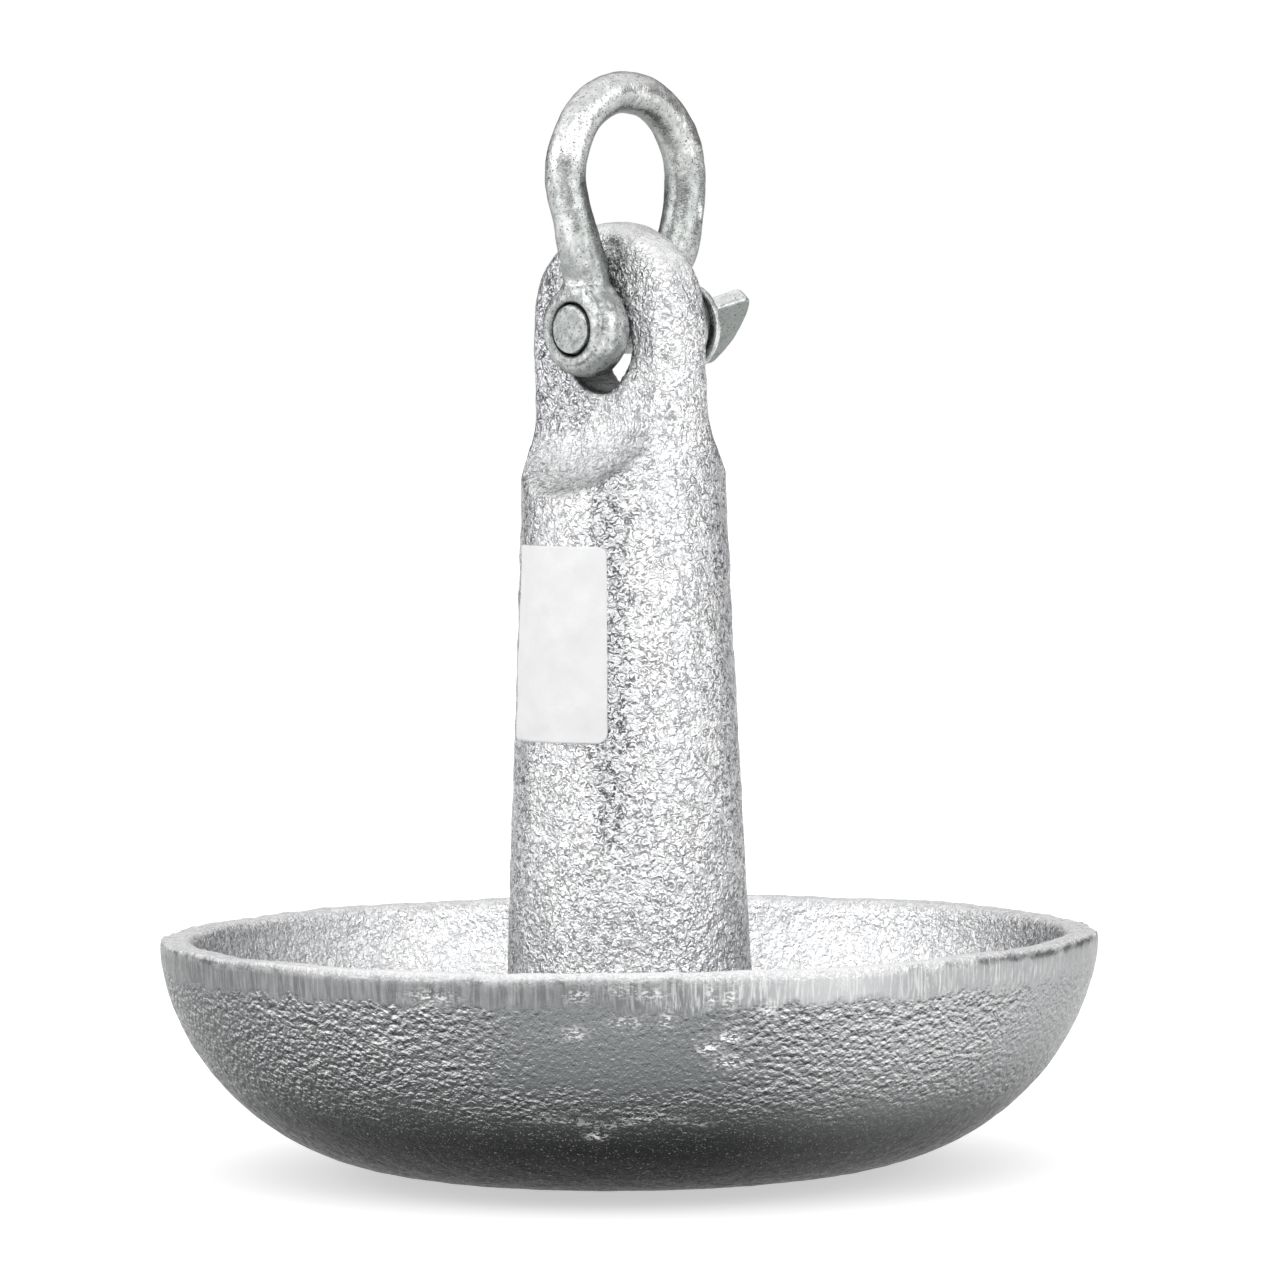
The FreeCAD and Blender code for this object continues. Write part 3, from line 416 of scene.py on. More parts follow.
def cast_material():
    """Bright silver coat over a rough sand-cast skin, with painted shade that darkens it under the bowl."""
    material, tree, shader, coords = new_material("silver_coat_over_casting")
    marks = {name: painted(tree, name) for name in CASTING_PAINTS}
    coarse = rest_of(tree, marks["smooth"])
    plain = rest_of(tree, marks["band"], 0.85)
    sand = bump(tree, grain(tree, coords, SAND_SIZE, 2.0, 0.6), SAND_DEPTH, share=plain)
    worms, rough = coat_relief(tree, coords, sand, coarse)
    streaks, outer = skin_relief(tree, coords, sand, marks)
    tree.links.new(blend_way(tree, marks["outside"], rough, outer), shader.inputs["Normal"])

    coat = coat_colour(tree, coords, marks, coarse, worms, rough)
    skin = marked_colour(tree, coords, marks, streaks, lumpy_colour(tree, marks, outer))
    colour = blend_colour(tree, marks["outside"], coat, skin)
    # Painted shade inside the hole through the head.
    tree.links.new(blend_colour(tree, marks["painted_hole_shade"], colour, HOLE_SHADE), shader.inputs["Base Color"])

    dull = ramp(tree, grain(tree, coords, DULL_SIZE, 2.0), 0.3, 0.7, 0.22, 0.38)
    tree.links.new(dull, shader.inputs["Roughness"])
    tree.links.new(ramp(tree, marks["flash"], 0.0, 1.0, 1.0, 0.1), shader.inputs["Metallic"])
    shader.inputs["Specular Tint"].default_value = (0.72, 0.72, 0.72, 1.0)
    return material


ZINC_DARK, ZINC_LIGHT = (0.27, 0.293, 0.284), (0.70, 0.71, 0.705)
ZINC_SHADED, ZINC_STAINED = (0.20, 0.215, 0.205), (0.24, 0.23, 0.19)
ZINC_CHALK, ZINC_FRESH_AND_HIGHLIGHT, ZINC_SPECK = (0.92, 0.92, 0.91), (0.96, 0.96, 0.96), (0.07, 0.075, 0.07)
CLOUD_SIZE, BLOTCH_SIZE, CHALK_SIZE, SPECK_SIZE = 2.4 * MM, 1.8 * MM, 1.1 * MM, 0.55 * MM
PIT_SIZE, PIT_DEPTH, FINE_PIT_SIZE, FINE_PIT_DEPTH = 1.3 * MM, 0.17 * MM, 0.4 * MM, 0.06 * MM


def zinc_colour(tree, coords, clouds, specks):
    """Mottled grey-green and white zinc, with painted shade, stains, chalk, painted highlights with a worn
    chip, and dark specks.
    """
    shade = painted(tree, "shade")
    zinc = blend_colour(tree, clouds, ZINC_DARK, ZINC_LIGHT)
    zinc = blend_colour(tree, shade, zinc, ZINC_SHADED)
    blotches = ramp(tree, grain(tree, coords, BLOTCH_SIZE, 4.0, 0.7), 0.36, 0.60)
    zinc = blend_colour(tree, times(tree, painted(tree, "stain"), blotches, 0.5), zinc, ZINC_STAINED)
    streaked = grain(tree, stretched(tree, coords, (1.0, 1.0, 0.35)), CHALK_SIZE, 3.0, 0.6)
    chalk = times(tree, ramp(tree, streaked, 0.56, 0.68), ramp(tree, clouds, 0.0, 1.0, 0.25, 0.9))
    chalk = times(tree, chalk, ramp(tree, shade, 0.05, 0.35, 1.0, 0.1))
    zinc = blend_colour(tree, chalk, zinc, ZINC_CHALK)
    zinc = blend_colour(tree, painted(tree, "chip_and_painted_highlight"), zinc, ZINC_FRESH_AND_HIGHLIGHT)
    return blend_colour(tree, times(tree, specks, 0.8), zinc, ZINC_SPECK)


def galvanised_material():
    """Hot-dip zinc: matt, mottled grey-green and white, with dark specks, painted shade and painted
    highlights.
    """
    material, tree, shader, coords = new_material("hot_dip_zinc")
    clouds = ramp(tree, grain(tree, coords, CLOUD_SIZE, 5.0, 0.72, 0.3), 0.30, 0.68)
    specks = ramp(tree, grain(tree, coords, SPECK_SIZE, 2.0, 0.5), 0.62, 0.69)
    tree.links.new(zinc_colour(tree, coords, clouds, specks), shader.inputs["Base Color"])
    shader.inputs["Metallic"].default_value = 0.92
    tree.links.new(ramp(tree, clouds, 0.0, 1.0, 0.17, 0.28), shader.inputs["Roughness"])
    shader.inputs["Specular Tint"].default_value = (0.5, 0.5, 0.5, 1.0)
    skin = calc(tree, "SUBTRACT", grain(tree, coords, PIT_SIZE, 3.0, 0.55), times(tree, specks, 0.3))
    pits = bump(tree, skin, PIT_DEPTH)
    fine = bump(tree, grain(tree, coords, FINE_PIT_SIZE, 2.0), FINE_PIT_DEPTH, pits)
    tree.links.new(fine, shader.inputs["Normal"])
    return material


FILM_GREY, FILM_WHITE = (0.77, 0.77, 0.78), (0.81, 0.81, 0.81)
TONE_SIZE, SATIN_SIZE, FILM_CREASE_SIZE, FILM_CREASE_DEPTH = 6 * MM, 2 * MM, 2.5 * MM, 0.12 * MM


def sticker_material():
    """White film with a satin face, faintly creased over the casting's skin."""
    material, tree, shader, coords = new_material("blank_white_sticker")
    tone = ramp(tree, grain(tree, coords, TONE_SIZE, 3.0), 0.3, 0.7)
    tree.links.new(blend_colour(tree, tone, FILM_GREY, FILM_WHITE), shader.inputs["Base Color"])
    satin = ramp(tree, grain(tree, coords, SATIN_SIZE), 0.3, 0.7, 0.42, 0.52)
    tree.links.new(satin, shader.inputs["Roughness"])
    creased = bump(tree, grain(tree, coords, FILM_CREASE_SIZE, 2.0), FILM_CREASE_DEPTH)
    tree.links.new(creased, shader.inputs["Normal"])
    return material


# Casting. Turns are in degrees round the axis from the side that faces the camera, towards picture right.
SHANK_EDGE = SHANK_REACH, SHANK_REACH + 6 * MM
SHANK_FOOT = 12 * MM, 20 * MM
LOW_SHANK = 65 * MM, 100 * MM
SCOOP_HEIGHT, SCOOP_HALF_HEIGHT, SCOOP_HALF_WIDTH = 172 * MM, 9 * MM, 16 * MM
HEAD_FOOT = 176 * MM, 188 * MM
BESIDE_LABEL_HEIGHTS = 70 * MM, 85 * MM, 160 * MM, 180 * MM

# The rim: where it is kept sharp, its flash, and how it wanders.
SHARP_CORNER = 1.5 * MM, 4 * MM
FLASH_WIDTH, FLASH_WIDER_IN_FRONT, FLASH_DEPTH = 1.1 * MM, 0.6 * MM, 0.35 * MM
RIM_TOP_HEIGHT, RIM_TOP_REACH = (BOWL_DEPTH - 3 * MM, BOWL_DEPTH - MM), (99 * MM, 102 * MM)
RIM_REACH, RIM_FOOT = (95 * MM, 104 * MM), 42 * MM
RIM_RISE_IN_FRONT, SLOW_DIP, QUICK_DIP = 1.25 * MM, 0.7 * MM, 0.35 * MM
RIM_DRAW_IN, RIM_DRAW_IN_MORE = 0.0006, 0.0015

# The band under the rim and the calm parts of the skin under it.
BAND_HEIGHT, BAND_TALLER_WITH_STREAKS = 6.6 * MM, 0.8 * MM
BAND_FADE = -1.4 * MM, 1.2 * MM
STREAKY_TURNS = -4, 10, 50, 75
PATCH_FOOT, PATCH_TURN, PATCH_HALF_TURN = (27 * MM, 33 * MM), -2.0, 15.5
FLANK_TURNS, FLANK_FOOT = (46, 60, 95, 115), (22 * MM, 34 * MM)
BACK_TURNS = 95, 165

# The skin's relief in geometry: how high its swells are.
SWELL, SMALL_SWELL = 0.20 * MM, 0.15 * MM
HAMMERED, STRIPED = 0.12 * MM, 0.12 * MM

# Turns at which wear and painted light and shade change the coat, and over how many degrees.
PAINTED_LIGHT_RIGHT, PAINTED_LIGHT_LEFT, PAINTED_LIGHT_HEAD = (27.0, 20.0), (-36.0, 16.0), (36.0, 22.0)
BESIDE_LABEL_TURN, INSIDE_ENDS, BAND_HIGHLIGHT_TURN = (-9.0, 10.0), (92.0, 32.0), (25.0, 13.0)
EDGE_ON_TURNS, SIDE_LIGHT_TURNS, SIDE_SHADE_TURNS = (50, 75), (8, 42), (0, 50)

# How the head leans and narrows, and how the run-outs under the flats are raised.
LEAN, LEAN_HEIGHTS = 1.0 * MM, (168 * MM, 195 * MM)
NARROWING, NARROWING_HEIGHTS = 0.02, (150 * MM, 175 * MM)
RUN_OUT_HEIGHTS, RUN_OUT_SIDES = (135 * MM, 160 * MM, 164 * MM, 192 * MM), (4 * MM, 20 * MM)
RUN_OUT_RISE, RUN_OUT_RISE_AT_SIDES = 1.0 * MM, 3.2 * MM


def camera_turn(places):
    """Degrees round the axis from the side that faces the camera, towards picture right."""
    return np.degrees(np.arctan2(places @ np.array(PICTURE_RIGHT), -(places @ np.array(SIGHT))))


def lean(places):
    """The head leans a little towards +Y, and it is a little narrower than a true round."""
    height = places[:, 2]
    places[:, 1] *= 1.0 - NARROWING * smoothstep(*NARROWING_HEIGHTS, height)
    places[:, 1] += LEAN * smoothstep(*LEAN_HEIGHTS, height)
    return places


def raise_run_out(places):
    """Under each flat the hollow run-out ends higher at its sides than in its middle."""
    climb = RUN_OUT_RISE + RUN_OUT_RISE_AT_SIDES * smoothstep(*RUN_OUT_SIDES, np.abs(places[:, 1]))
    places[:, 2] += climb * between(places[:, 2], *RUN_OUT_HEIGHTS)
    return places


# Cast-in marks on the side that faces the camera: turn, height, half width and half height in mm.
FLAP = (-23.4, 52.0, 5.5, 1.0)
LUMPS = ((11.4, 43.0, 2.6, 1.3), (9.0, 40.5, 2.2, 1.2), (11.6, 37.2, 3.0, 1.3))
UNDER_RIM = ((-6.0, 52.3, 2.6, 0.9), (-1.0, 53.6, 3.2, 0.8), (2.6, 52.6, 3.0, 0.9), (9.4, 52.2, 1.0, 2.0),
             (11.6, 51.4, 1.4, 2.0), (16.0, 48.5, 3.0, 1.4))
ON_THE_PATCH = ((-0.5, 46.6, 3.6, 0.9), (4.2, 47.2, 1.4, 1.6), (-6.4, 44.4, 2.4, 1.2))
STRAY = ((-4.0, 19.6, 2.4, 1.0), (-30.0, 41.0, 2.5, 0.9))
SEAM_TURNS, SEAM_HEIGHT, SEAM_WAVE, SEAM_HALF_HEIGHT = (-14, -11, 9, 12), 23.0 * MM, 0.8 * MM, 0.9 * MM
NOTCH_TURN, NOTCH_LINE_TURN, NOTCH_SLOPE = math.radians(37.5), math.radians(36.0), 2.2


def front_marks(places):
    """How far the cast-in marks stand out of the bowl's side, and where the coat is thick on them."""
    turn = np.radians(camera_turn(places))
    round_way = turn * np.hypot(places[:, 0], places[:, 1])
    height = places[:, 2]

    def mark(degrees, up, half_width, half_height):
        """Round mark at one place."""
        middle = math.radians(degrees) * RIM_RADIUS
        return bump_at(round_way, middle, half_width * MM) * bump_at(height, up * MM, half_height * MM)

    flap = mark(*FLAP)
    lumps = sum(mark(*place) for place in LUMPS)
    small = sum(mark(*place) for place in UNDER_RIM + ON_THE_PATCH + STRAY)
    wave = SEAM_HEIGHT + SEAM_WAVE * np.sin(turn * 25.0)
    seam = between(np.degrees(turn), *SEAM_TURNS) * bump_at(height, wave, SEAM_HALF_HEIGHT)
    notch_height = 57 * MM - (round_way - NOTCH_LINE_TURN * RIM_RADIUS) * NOTCH_SLOPE
    notch = bump_at(turn, NOTCH_TURN, 0.03) * bump_at(height, notch_height, 2.2 * MM)
    standing = (flap * 0.9 + lumps * 1.0 + seam * 0.6 + small * 0.45 - notch * 0.8) * MM
    return standing, np.clip(flap * 0.8 + lumps * 1.2 + seam * 0.3 + small * 0.8, 0, 1)


def survey_casting(places, normals):
    """Reach, height and turn of each point, and its share of the shank, the bowl's outside and its inside."""
    at = SimpleNamespace(height=places[:, 2], upward=normals[:, 2])
    at.reach = np.hypot(places[:, 0], places[:, 1])
    at.under = 1 - at.height / BOWL_DEPTH
    at.facing = camera_turn(places)
    at.aside = np.abs(at.facing)
    at.in_front = np.cos(np.radians(at.facing))
    turn = np.arctan2(places[:, 1], places[:, 0])
    at.circle = np.stack([np.cos(turn), np.sin(turn), np.zeros_like(turn)], axis=1) * RIM_RADIUS
    radial = (places[:, 0] * normals[:, 0] + places[:, 1] * normals[:, 1]) / np.maximum(at.reach, MM)
    at.on_shank = (1 - smoothstep(*SHANK_EDGE, at.reach)) * smoothstep(*SHANK_FOOT, at.height)
    at.outward = smoothstep(-0.1, 0.6, radial - at.upward) * (1 - at.on_shank)
    at.inside = (1 - at.outward) * (1 - at.on_shank) * smoothstep(0.0, 0.1, at.under + 0.05)
    return at


def survey_rim(at, to_corner):
    """Where the rim's flash is, widest in front where its painted highlight is strongest, and where the rim's
    top is.
    """
    at.near = smoothstep(0.6, 0.95, at.in_front)
    at.flash = bump_at(to_corner, 0.0, FLASH_WIDTH + FLASH_WIDER_IN_FRONT * at.near)
    at.flash *= smoothstep(-0.45, 0.15, wobble(at.circle, 6 * MM, 14) + 0.5 * at.near)
    at.rim_top = smoothstep(0.5, 0.85, at.upward) * smoothstep(*RIM_TOP_HEIGHT, at.height)
    at.rim_top *= smoothstep(*RIM_TOP_REACH, at.reach)


def survey_bowl(at, places):
    """Where the bowl's outside has its nearly smooth band, and where its skin is calm."""
    ragged = wobble(places, 5 * MM, 9) * 1.2 * MM
    at.streaky = between(at.facing, *STREAKY_TURNS)
    low_edge = BOWL_DEPTH - BAND_HEIGHT - BAND_TALLER_WITH_STREAKS * at.streaky
    at.band = at.outward * smoothstep(low_edge + BAND_FADE[0], low_edge + BAND_FADE[1], at.height + ragged)
    patch = smoothstep(*PATCH_FOOT, at.height + ragged * 2)
    patch *= np.exp(-(((at.facing - PATCH_TURN) / PATCH_HALF_TURN) ** 4))
    bottom = smoothstep(0.46, 0.72, at.under + wobble(places, 9 * MM, 10) * 0.07)
    flank = between(at.aside, *FLANK_TURNS) * smoothstep(*FLANK_FOOT, at.height + ragged * 2)
    flank *= 0.5 + 0.2 * np.sign(at.facing)
    at.calm = np.maximum.reduce([patch * 0.9, bottom * 0.85, flank])


def casting_depth(at, places, standing):
    """How far the skin stands out of the smooth solid: swells, hammered lumps, the marks and the flash."""
    swell = wobble(places, 6.5 * MM, 1) * SWELL + wobble(places, 3.4 * MM, 2) * SMALL_SWELL
    hammered = (wobble(places, 5.0 * MM, 3) + wobble(places, 2.9 * MM, 4)) * HAMMERED
    striped = wobble(places * np.array([1, 1, 0.05]), 3.0 * MM, 5) * STRIPED
    skin = swell * (1 - at.outward) * (1 - 0.4 * at.inside) + hammered * at.outward * (1 - 0.6 * at.calm)
    skin = skin * (1 - 0.85 * at.band) + striped * at.band
    skin = skin * (1 - 0.5 * at.rim_top) * smoothstep(0.2 * MM, 2.0 * MM, at.height)
    return skin + standing * at.outward + at.flash * FLASH_DEPTH


def wave_rim(at, places):
    """The rim's height and radius wander a little, and it stands higher in front."""
    at_rim = smoothstep(RIM_FOOT, BOWL_DEPTH, places[:, 2]) * smoothstep(*RIM_REACH, at.reach)
    dip = (0.5 + 0.5 * wobble(at.circle, 26 * MM, 6)) * SLOW_DIP
    dip += (0.5 + 0.5 * wobble(at.circle, 7 * MM, 7)) * QUICK_DIP
    places[:, 2] += at_rim * (RIM_RISE_IN_FRONT * smoothstep(-0.3, 0.5, at.in_front) - dip)
    draw_in = RIM_DRAW_IN + RIM_DRAW_IN_MORE * (0.5 + 0.5 * wobble(at.circle, 16 * MM, 8))
    places[:, :2] *= (1 - at_rim * draw_in)[:, None]
    return places


def survey_coat(at, places):
    """Where the hole, the scoop and the head's top are, where painted light keeps the coat clean, and where
    wear and painted shade darken it.
    """
    from_hole = np.hypot(places[:, 1], places[:, 2] - HOLE_HEIGHT)
    at.in_hole = 1 - smoothstep(HOLE_RADIUS + 0.2 * MM, HOLE_RADIUS + 1.0 * MM, from_hole)
    at.in_scoop = bump_at(at.height, SCOOP_HEIGHT, SCOOP_HALF_HEIGHT)
    at.in_scoop *= bump_at(places[:, 1], 0.0, SCOOP_HALF_WIDTH)
    on_head = smoothstep(*HEAD_FOOT, at.height)
    at.head_top = on_head * smoothstep(0.3, 0.7, at.upward)
    at.ends = at.inside * bump_at(at.aside, *INSIDE_ENDS)

    # Painted light: the coat is kept clean on the turns where highlights fall, on the head's top, in the
    # scoop and low on the shank.
    painted_light = 0.55 * bump_at(at.facing, *PAINTED_LIGHT_RIGHT) + 0.4 * bump_at(at.facing, *PAINTED_LIGHT_LEFT)
    painted_light += on_head * (0.35 * bump_at(at.facing, *PAINTED_LIGHT_HEAD) + 0.3 * smoothstep(0.2, 0.6, at.upward))
    painted_light += 0.8 * at.in_scoop + 0.6 * (1 - smoothstep(*LOW_SHANK, at.height))
    # Wear beside the label; painted shade where the shank is seen edge-on and at the ends of the bowl's
    # inside.
    beside_label = bump_at(at.facing, *BESIDE_LABEL_TURN) * between(at.height, *BESIDE_LABEL_HEIGHTS)
    edge_on = smoothstep(*EDGE_ON_TURNS, at.aside) * (1 - smoothstep(0.2, 0.6, at.upward))
    at.worn = at.on_shank * np.clip(0.6 - painted_light + 0.5 * beside_label + 0.7 * edge_on, 0, 1)
    at.worn = at.worn + at.ends * (0.55 + 0.35 * np.sign(at.facing))


def casting_paints(at, chips):
    """What the casting's material reads at each point."""
    # Painted light on the right side and on one stretch of the band, painted shade on the left side and over
    # the band.
    front = 1 - smoothstep(*BACK_TURNS, at.aside)
    painted_side_light = smoothstep(*SIDE_LIGHT_TURNS, at.facing) * (1 - 0.88 * smoothstep(0.25, 0.85, at.under)) * 0.42 * front
    painted_side_shade = smoothstep(*SIDE_SHADE_TURNS, -at.facing) * smoothstep(-0.05, 0.45, at.under) * 0.45 * front
    # Painted highlight: whiter and less metallic on the rim's top, most in front, and on the head's top, as
    # well as on the rim's flash.
    flash_and_highlights = [at.flash, at.rim_top * (0.5 + 0.45 * at.near), at.head_top * 0.35]
    smooth = [at.rim_top * 0.1, (at.inside - at.ends) * 0.4, at.in_hole * 0.7, at.in_scoop * 0.3]
    smooth.append(at.head_top * 0.45)
    return {
        "outside": at.outward * (1 - at.flash) * (1 - at.rim_top),
        "band": at.band,
        "streaky": 0.25 + 0.75 * at.streaky,
        "calm": at.calm,
        "chips": chips * at.outward,
        "flash": np.maximum.reduce(flash_and_highlights),
        "smooth": np.maximum.reduce(smooth),
        "worn": at.worn,
        "under": at.under,
        "painted_side_light": np.maximum(painted_side_light, at.band * bump_at(at.facing, *BAND_HIGHLIGHT_TURN) * 0.72),
        "painted_side_shade": np.maximum(painted_side_shade, at.band * 0.30),
        "painted_hole_shade": at.in_hole,
    }


def casting():
    """Bowl, shank and head. The skin is rough all over, hammered outside the bowl and wavy at the rim."""
    piece = even_copy("silver_casting", "anchor_casting", CASTING_VOXEL)
    mesh = piece.data
    places, _, edges = mesh_arrays(mesh)
    to_corner = np.hypot(np.hypot(places[:, 0], places[:, 1]) - RIM_RADIUS, places[:, 2] - BOWL_DEPTH)
    set_places(mesh, relax(places, edges, 3, smoothstep(*SHARP_CORNER, to_corner)))
    places, normals, _ = mesh_arrays(mesh)

    at = survey_casting(places, normals)
    survey_rim(at, to_corner)
    survey_bowl(at, places)
    standing, chips = front_marks(places)
    places = places + normals * casting_depth(at, places, standing)[:, None]
    places = wave_rim(at, places)
    survey_coat(at, places)
    set_places(mesh, keep_inside(lean(raise_run_out(places)), "anchor_casting"))
    paint(mesh, casting_paints(at, chips))
    dress(piece, "anchor_casting", "anchor", cast_material())
    return piece


# Bow of the shackle: its bores and the ring round each, its legs, crown and shoulder, and a chip.
BORE_EDGE = PIN_RADIUS + 0.6 * MM, PIN_RADIUS + 1.8 * MM
LIP_EDGE, LIP_DEPTH = (PIN_RADIUS + 0.2 * MM, PIN_RADIUS + 1.1 * MM), 0.4 * MM
RING_RADIUS = 9.7 * MM
RING_LIFT = 1.1 * MM
RING_STEP = 0.5 * MM
RING_EDGE, RING_FADE = (RING_RADIUS - 0.25 * MM, RING_RADIUS + 0.25 * MM), (11.0 * MM, 15.0 * MM)
RING_TOP = RING_LIFT + RING_RADIUS
SHELF_HEIGHT = 0.3 * MM
SQUARED_HEIGHTS = 9.5 * MM, 11.5 * MM, 16 * MM, 26 * MM
CROWN_FOOT = 34 * MM
NEAR_LEG_ASIDE, NEAR_LEG_BACK_TO_LINE = 1.6 * MM, (25 * MM, 36 * MM)
BEND_BEHIND, BEND_IN_FRONT = (12 * MM, 17 * MM), (8 * MM, 11 * MM)
SHOULDER_HEIGHT, SHOULDER_SHIFT = 50 * MM, 0.6 * MM
CHIP_PLACE = PIN_AXIS + Vector((LEG_TOP, -4.4 * MM, 28.0 * MM))


def survey_bow(places):
    """Where each point of the bow lies against its legs, the pin and the ring round each bore."""
    at = SimpleNamespace(face=np.abs(places[:, 0] - PIN_AXIS.x), side=np.sign(places[:, 0] - PIN_AXIS.x))
    at.above = places[:, 2] - PIN_AXIS.z
    at.from_pin = np.hypot(places[:, 1], at.above)
    at.from_ring = np.hypot(places[:, 1], at.above - RING_LIFT)
    climb = np.clip((at.above - LEG_RISE[0]) / (LEG_RISE[1] - LEG_RISE[0]), 0, 1)
    middle = LEG_FOOT + (LEG_TOP - LEG_FOOT) * np.sin(climb * math.pi / 2)
    at.across = (at.face - middle) / ROD_RADIUS
    at.along = places[:, 1] / ROD_RADIUS
    at.off_bore = smoothstep(*BORE_EDGE, at.from_pin)
    return at


def forge_bow(at, places, normals):
    """Squarer legs above the eyes, a step round each ring, a ledge above it, and dents."""
    leg = between(at.above, *SQUARED_HEIGHTS)
    corner = np.clip(2 * np.abs(at.across * at.along), 0, 1) * smoothstep(-0.3, 0.3, at.across)
    hollow = bump_at(at.along, 0.0, 0.5) * smoothstep(0.3, 0.8, at.across)
    squared = leg * (corner * 1.1 - 0.25 * hollow) * MM
    step = -RING_STEP * smoothstep(*RING_EDGE, at.from_ring)
    step *= bump_at(at.face, EYE_FACE - 1.0 * MM, 2.5 * MM) * (1 - smoothstep(*RING_FADE, at.from_ring))
    shelf = bump_at(at.above, RING_TOP - 0.4 * MM, 0.8 * MM) * smoothstep(0.2, 0.9, at.across) * SHELF_HEIGHT
    dents = wobble(places, 7 * MM, 11) * 0.14 + wobble(places, 2.2 * MM, 12) * 0.06
    return places + normals * ((dents - 0.05) * at.off_bore * MM + squared + step + shelf)[:, None]


def bend_bow(at, places):
    """Rounded lip of each bore, a narrower left shoulder, and the near leg bent aside."""
    lip = 1 - smoothstep(*LIP_EDGE, at.from_pin)
    lip *= smoothstep(-1.2 * MM, 0, at.face - EYE_FACE)
    places[:, 0] -= at.side * lip * LIP_DEPTH
    shoulder = smoothstep(5 * MM, 20 * MM, PIN_AXIS.x - places[:, 0])
    places[:, 0] += shoulder * bump_at(at.above, SHOULDER_HEIGHT, 9 * MM) * SHOULDER_SHIFT
    towards_camera = smoothstep(-0.3, 0.3, -at.along)
    aside = smoothstep(*BEND_BEHIND, at.above) * (1 - towards_camera)
    aside += smoothstep(*BEND_IN_FRONT, at.above) * towards_camera
    aside *= (1 - smoothstep(*NEAR_LEG_BACK_TO_LINE, at.above)) * (at.side < 0)
    places[:, 1] -= aside * NEAR_LEG_ASIDE
    return places


def bow_paints(at, places, normals):
    """Where shade and highlights are painted on the zinc, where it is stained, and where one chip is worn
    bright.
    """
    sideways = normals @ np.array(PICTURE_RIGHT)
    upward = normals[:, 2]
    near_leg, far_leg = at.side < 0, at.side > 0
    crown = smoothstep(CROWN_FOOT, CROWN_FOOT + 10 * MM, at.above)
    inner = smoothstep(0.15, 0.9, -at.side * sideways) * smoothstep(4 * MM, 12 * MM, at.above)
    outer = smoothstep(0.80, 1.0, at.side * sideways)
    outer *= 1 - 0.7 * smoothstep(CROWN_FOOT, CROWN_FOOT + 8 * MM, at.above)
    below = smoothstep(0.1, 0.9, -upward)
    crease = bump_at(at.from_ring, RING_RADIUS + 0.3 * MM, 0.5 * MM)
    crease *= smoothstep(EYE_FACE - 3 * MM, EYE_FACE - 2 * MM, at.face)
    shade = [inner * 0.8, outer * 0.6, below * 0.75, (1 - at.off_bore) * 0.9, crease * 0.55]
    shade = np.maximum.reduce(shade)
    shade = shade * (1 - 0.6 * crown * smoothstep(-0.6, 0.2, upward))
    shade = np.maximum(shade, (0.19 + 0.20 * far_leg) * (1 - crown))
    above_ledge = between(at.above, 11.4 * MM, 12.2 * MM, 17 * MM, 23 * MM) * near_leg
    shade = np.maximum(shade, above_ledge * smoothstep(0.05, 0.35, -sideways - 0.1) * 0.6)

    # Painted highlights: a streak down the near leg, the crown's top and a line along the ledge over each
    # ring.
    painted_streak_highlight = bump_at(sideways, -0.35, 0.22) * smoothstep(14 * MM, 22 * MM, at.above) * near_leg
    painted_streak_highlight = painted_streak_highlight * (0.6 + 0.4 * wobble(places, 9 * MM, 15))
    in_crown = crown * smoothstep(-2 * MM, 5 * MM, places[:, 0] - PIN_AXIS.x)
    painted_crown_highlight = crown * (0.42 - 0.22 * in_crown) * smoothstep(-0.6, 0.4, upward)
    ledge_highlight = bump_at(at.above, RING_TOP, 0.4 * MM) * smoothstep(0.2, 0.6, at.across)
    to_chip = (places - np.array(CHIP_PLACE)) / np.array([1.0, 1.0, 2.4])
    chip_and_painted_highlight = bump_at(np.linalg.norm(to_chip, axis=1), 0.0, 1.0 * MM) > 0.4
    return {
        "shade": shade,
        "stain": np.maximum(in_crown * 0.7, 0.12),
        "chip_and_painted_highlight": np.maximum.reduce([chip_and_painted_highlight, np.clip(painted_streak_highlight, 0, 1) * 0.5, painted_crown_highlight, ledge_highlight * 0.7]),
    }


def bow(zinc):
    """Forged bow of the shackle: squarer above the eyes, a flat ring round each bore, dented by tumbling."""
    piece = even_copy("galvanised_bow", "shackle_bow", BOW_VOXEL)
    mesh = piece.data
    places, _, edges = mesh_arrays(mesh)
    set_places(mesh, relax(places, edges, 3))
    places, normals, _ = mesh_arrays(mesh)
    at = survey_bow(places)
    places = bend_bow(at, forge_bow(at, places, normals))
    set_places(mesh, keep_inside(places, "shackle_bow"))
    paint(mesh, bow_paints(at, places, normals))
    dress(piece, "shackle_bow", "shackle", zinc)


ROD_EDGE = PIN_RADIUS + 0.3 * MM, PIN_RADIUS + 0.8 * MM
THREAD_START = EYE_FACE - 10.5 * MM
THREAD_PITCH = 1.81 * MM
THREAD_DEPTH = 0.9 * MM
END_BEVEL = 0.22 * MM
COLLAR_END = EYE_FACE + 2.5 * MM, EYE_FACE + 3.0 * MM


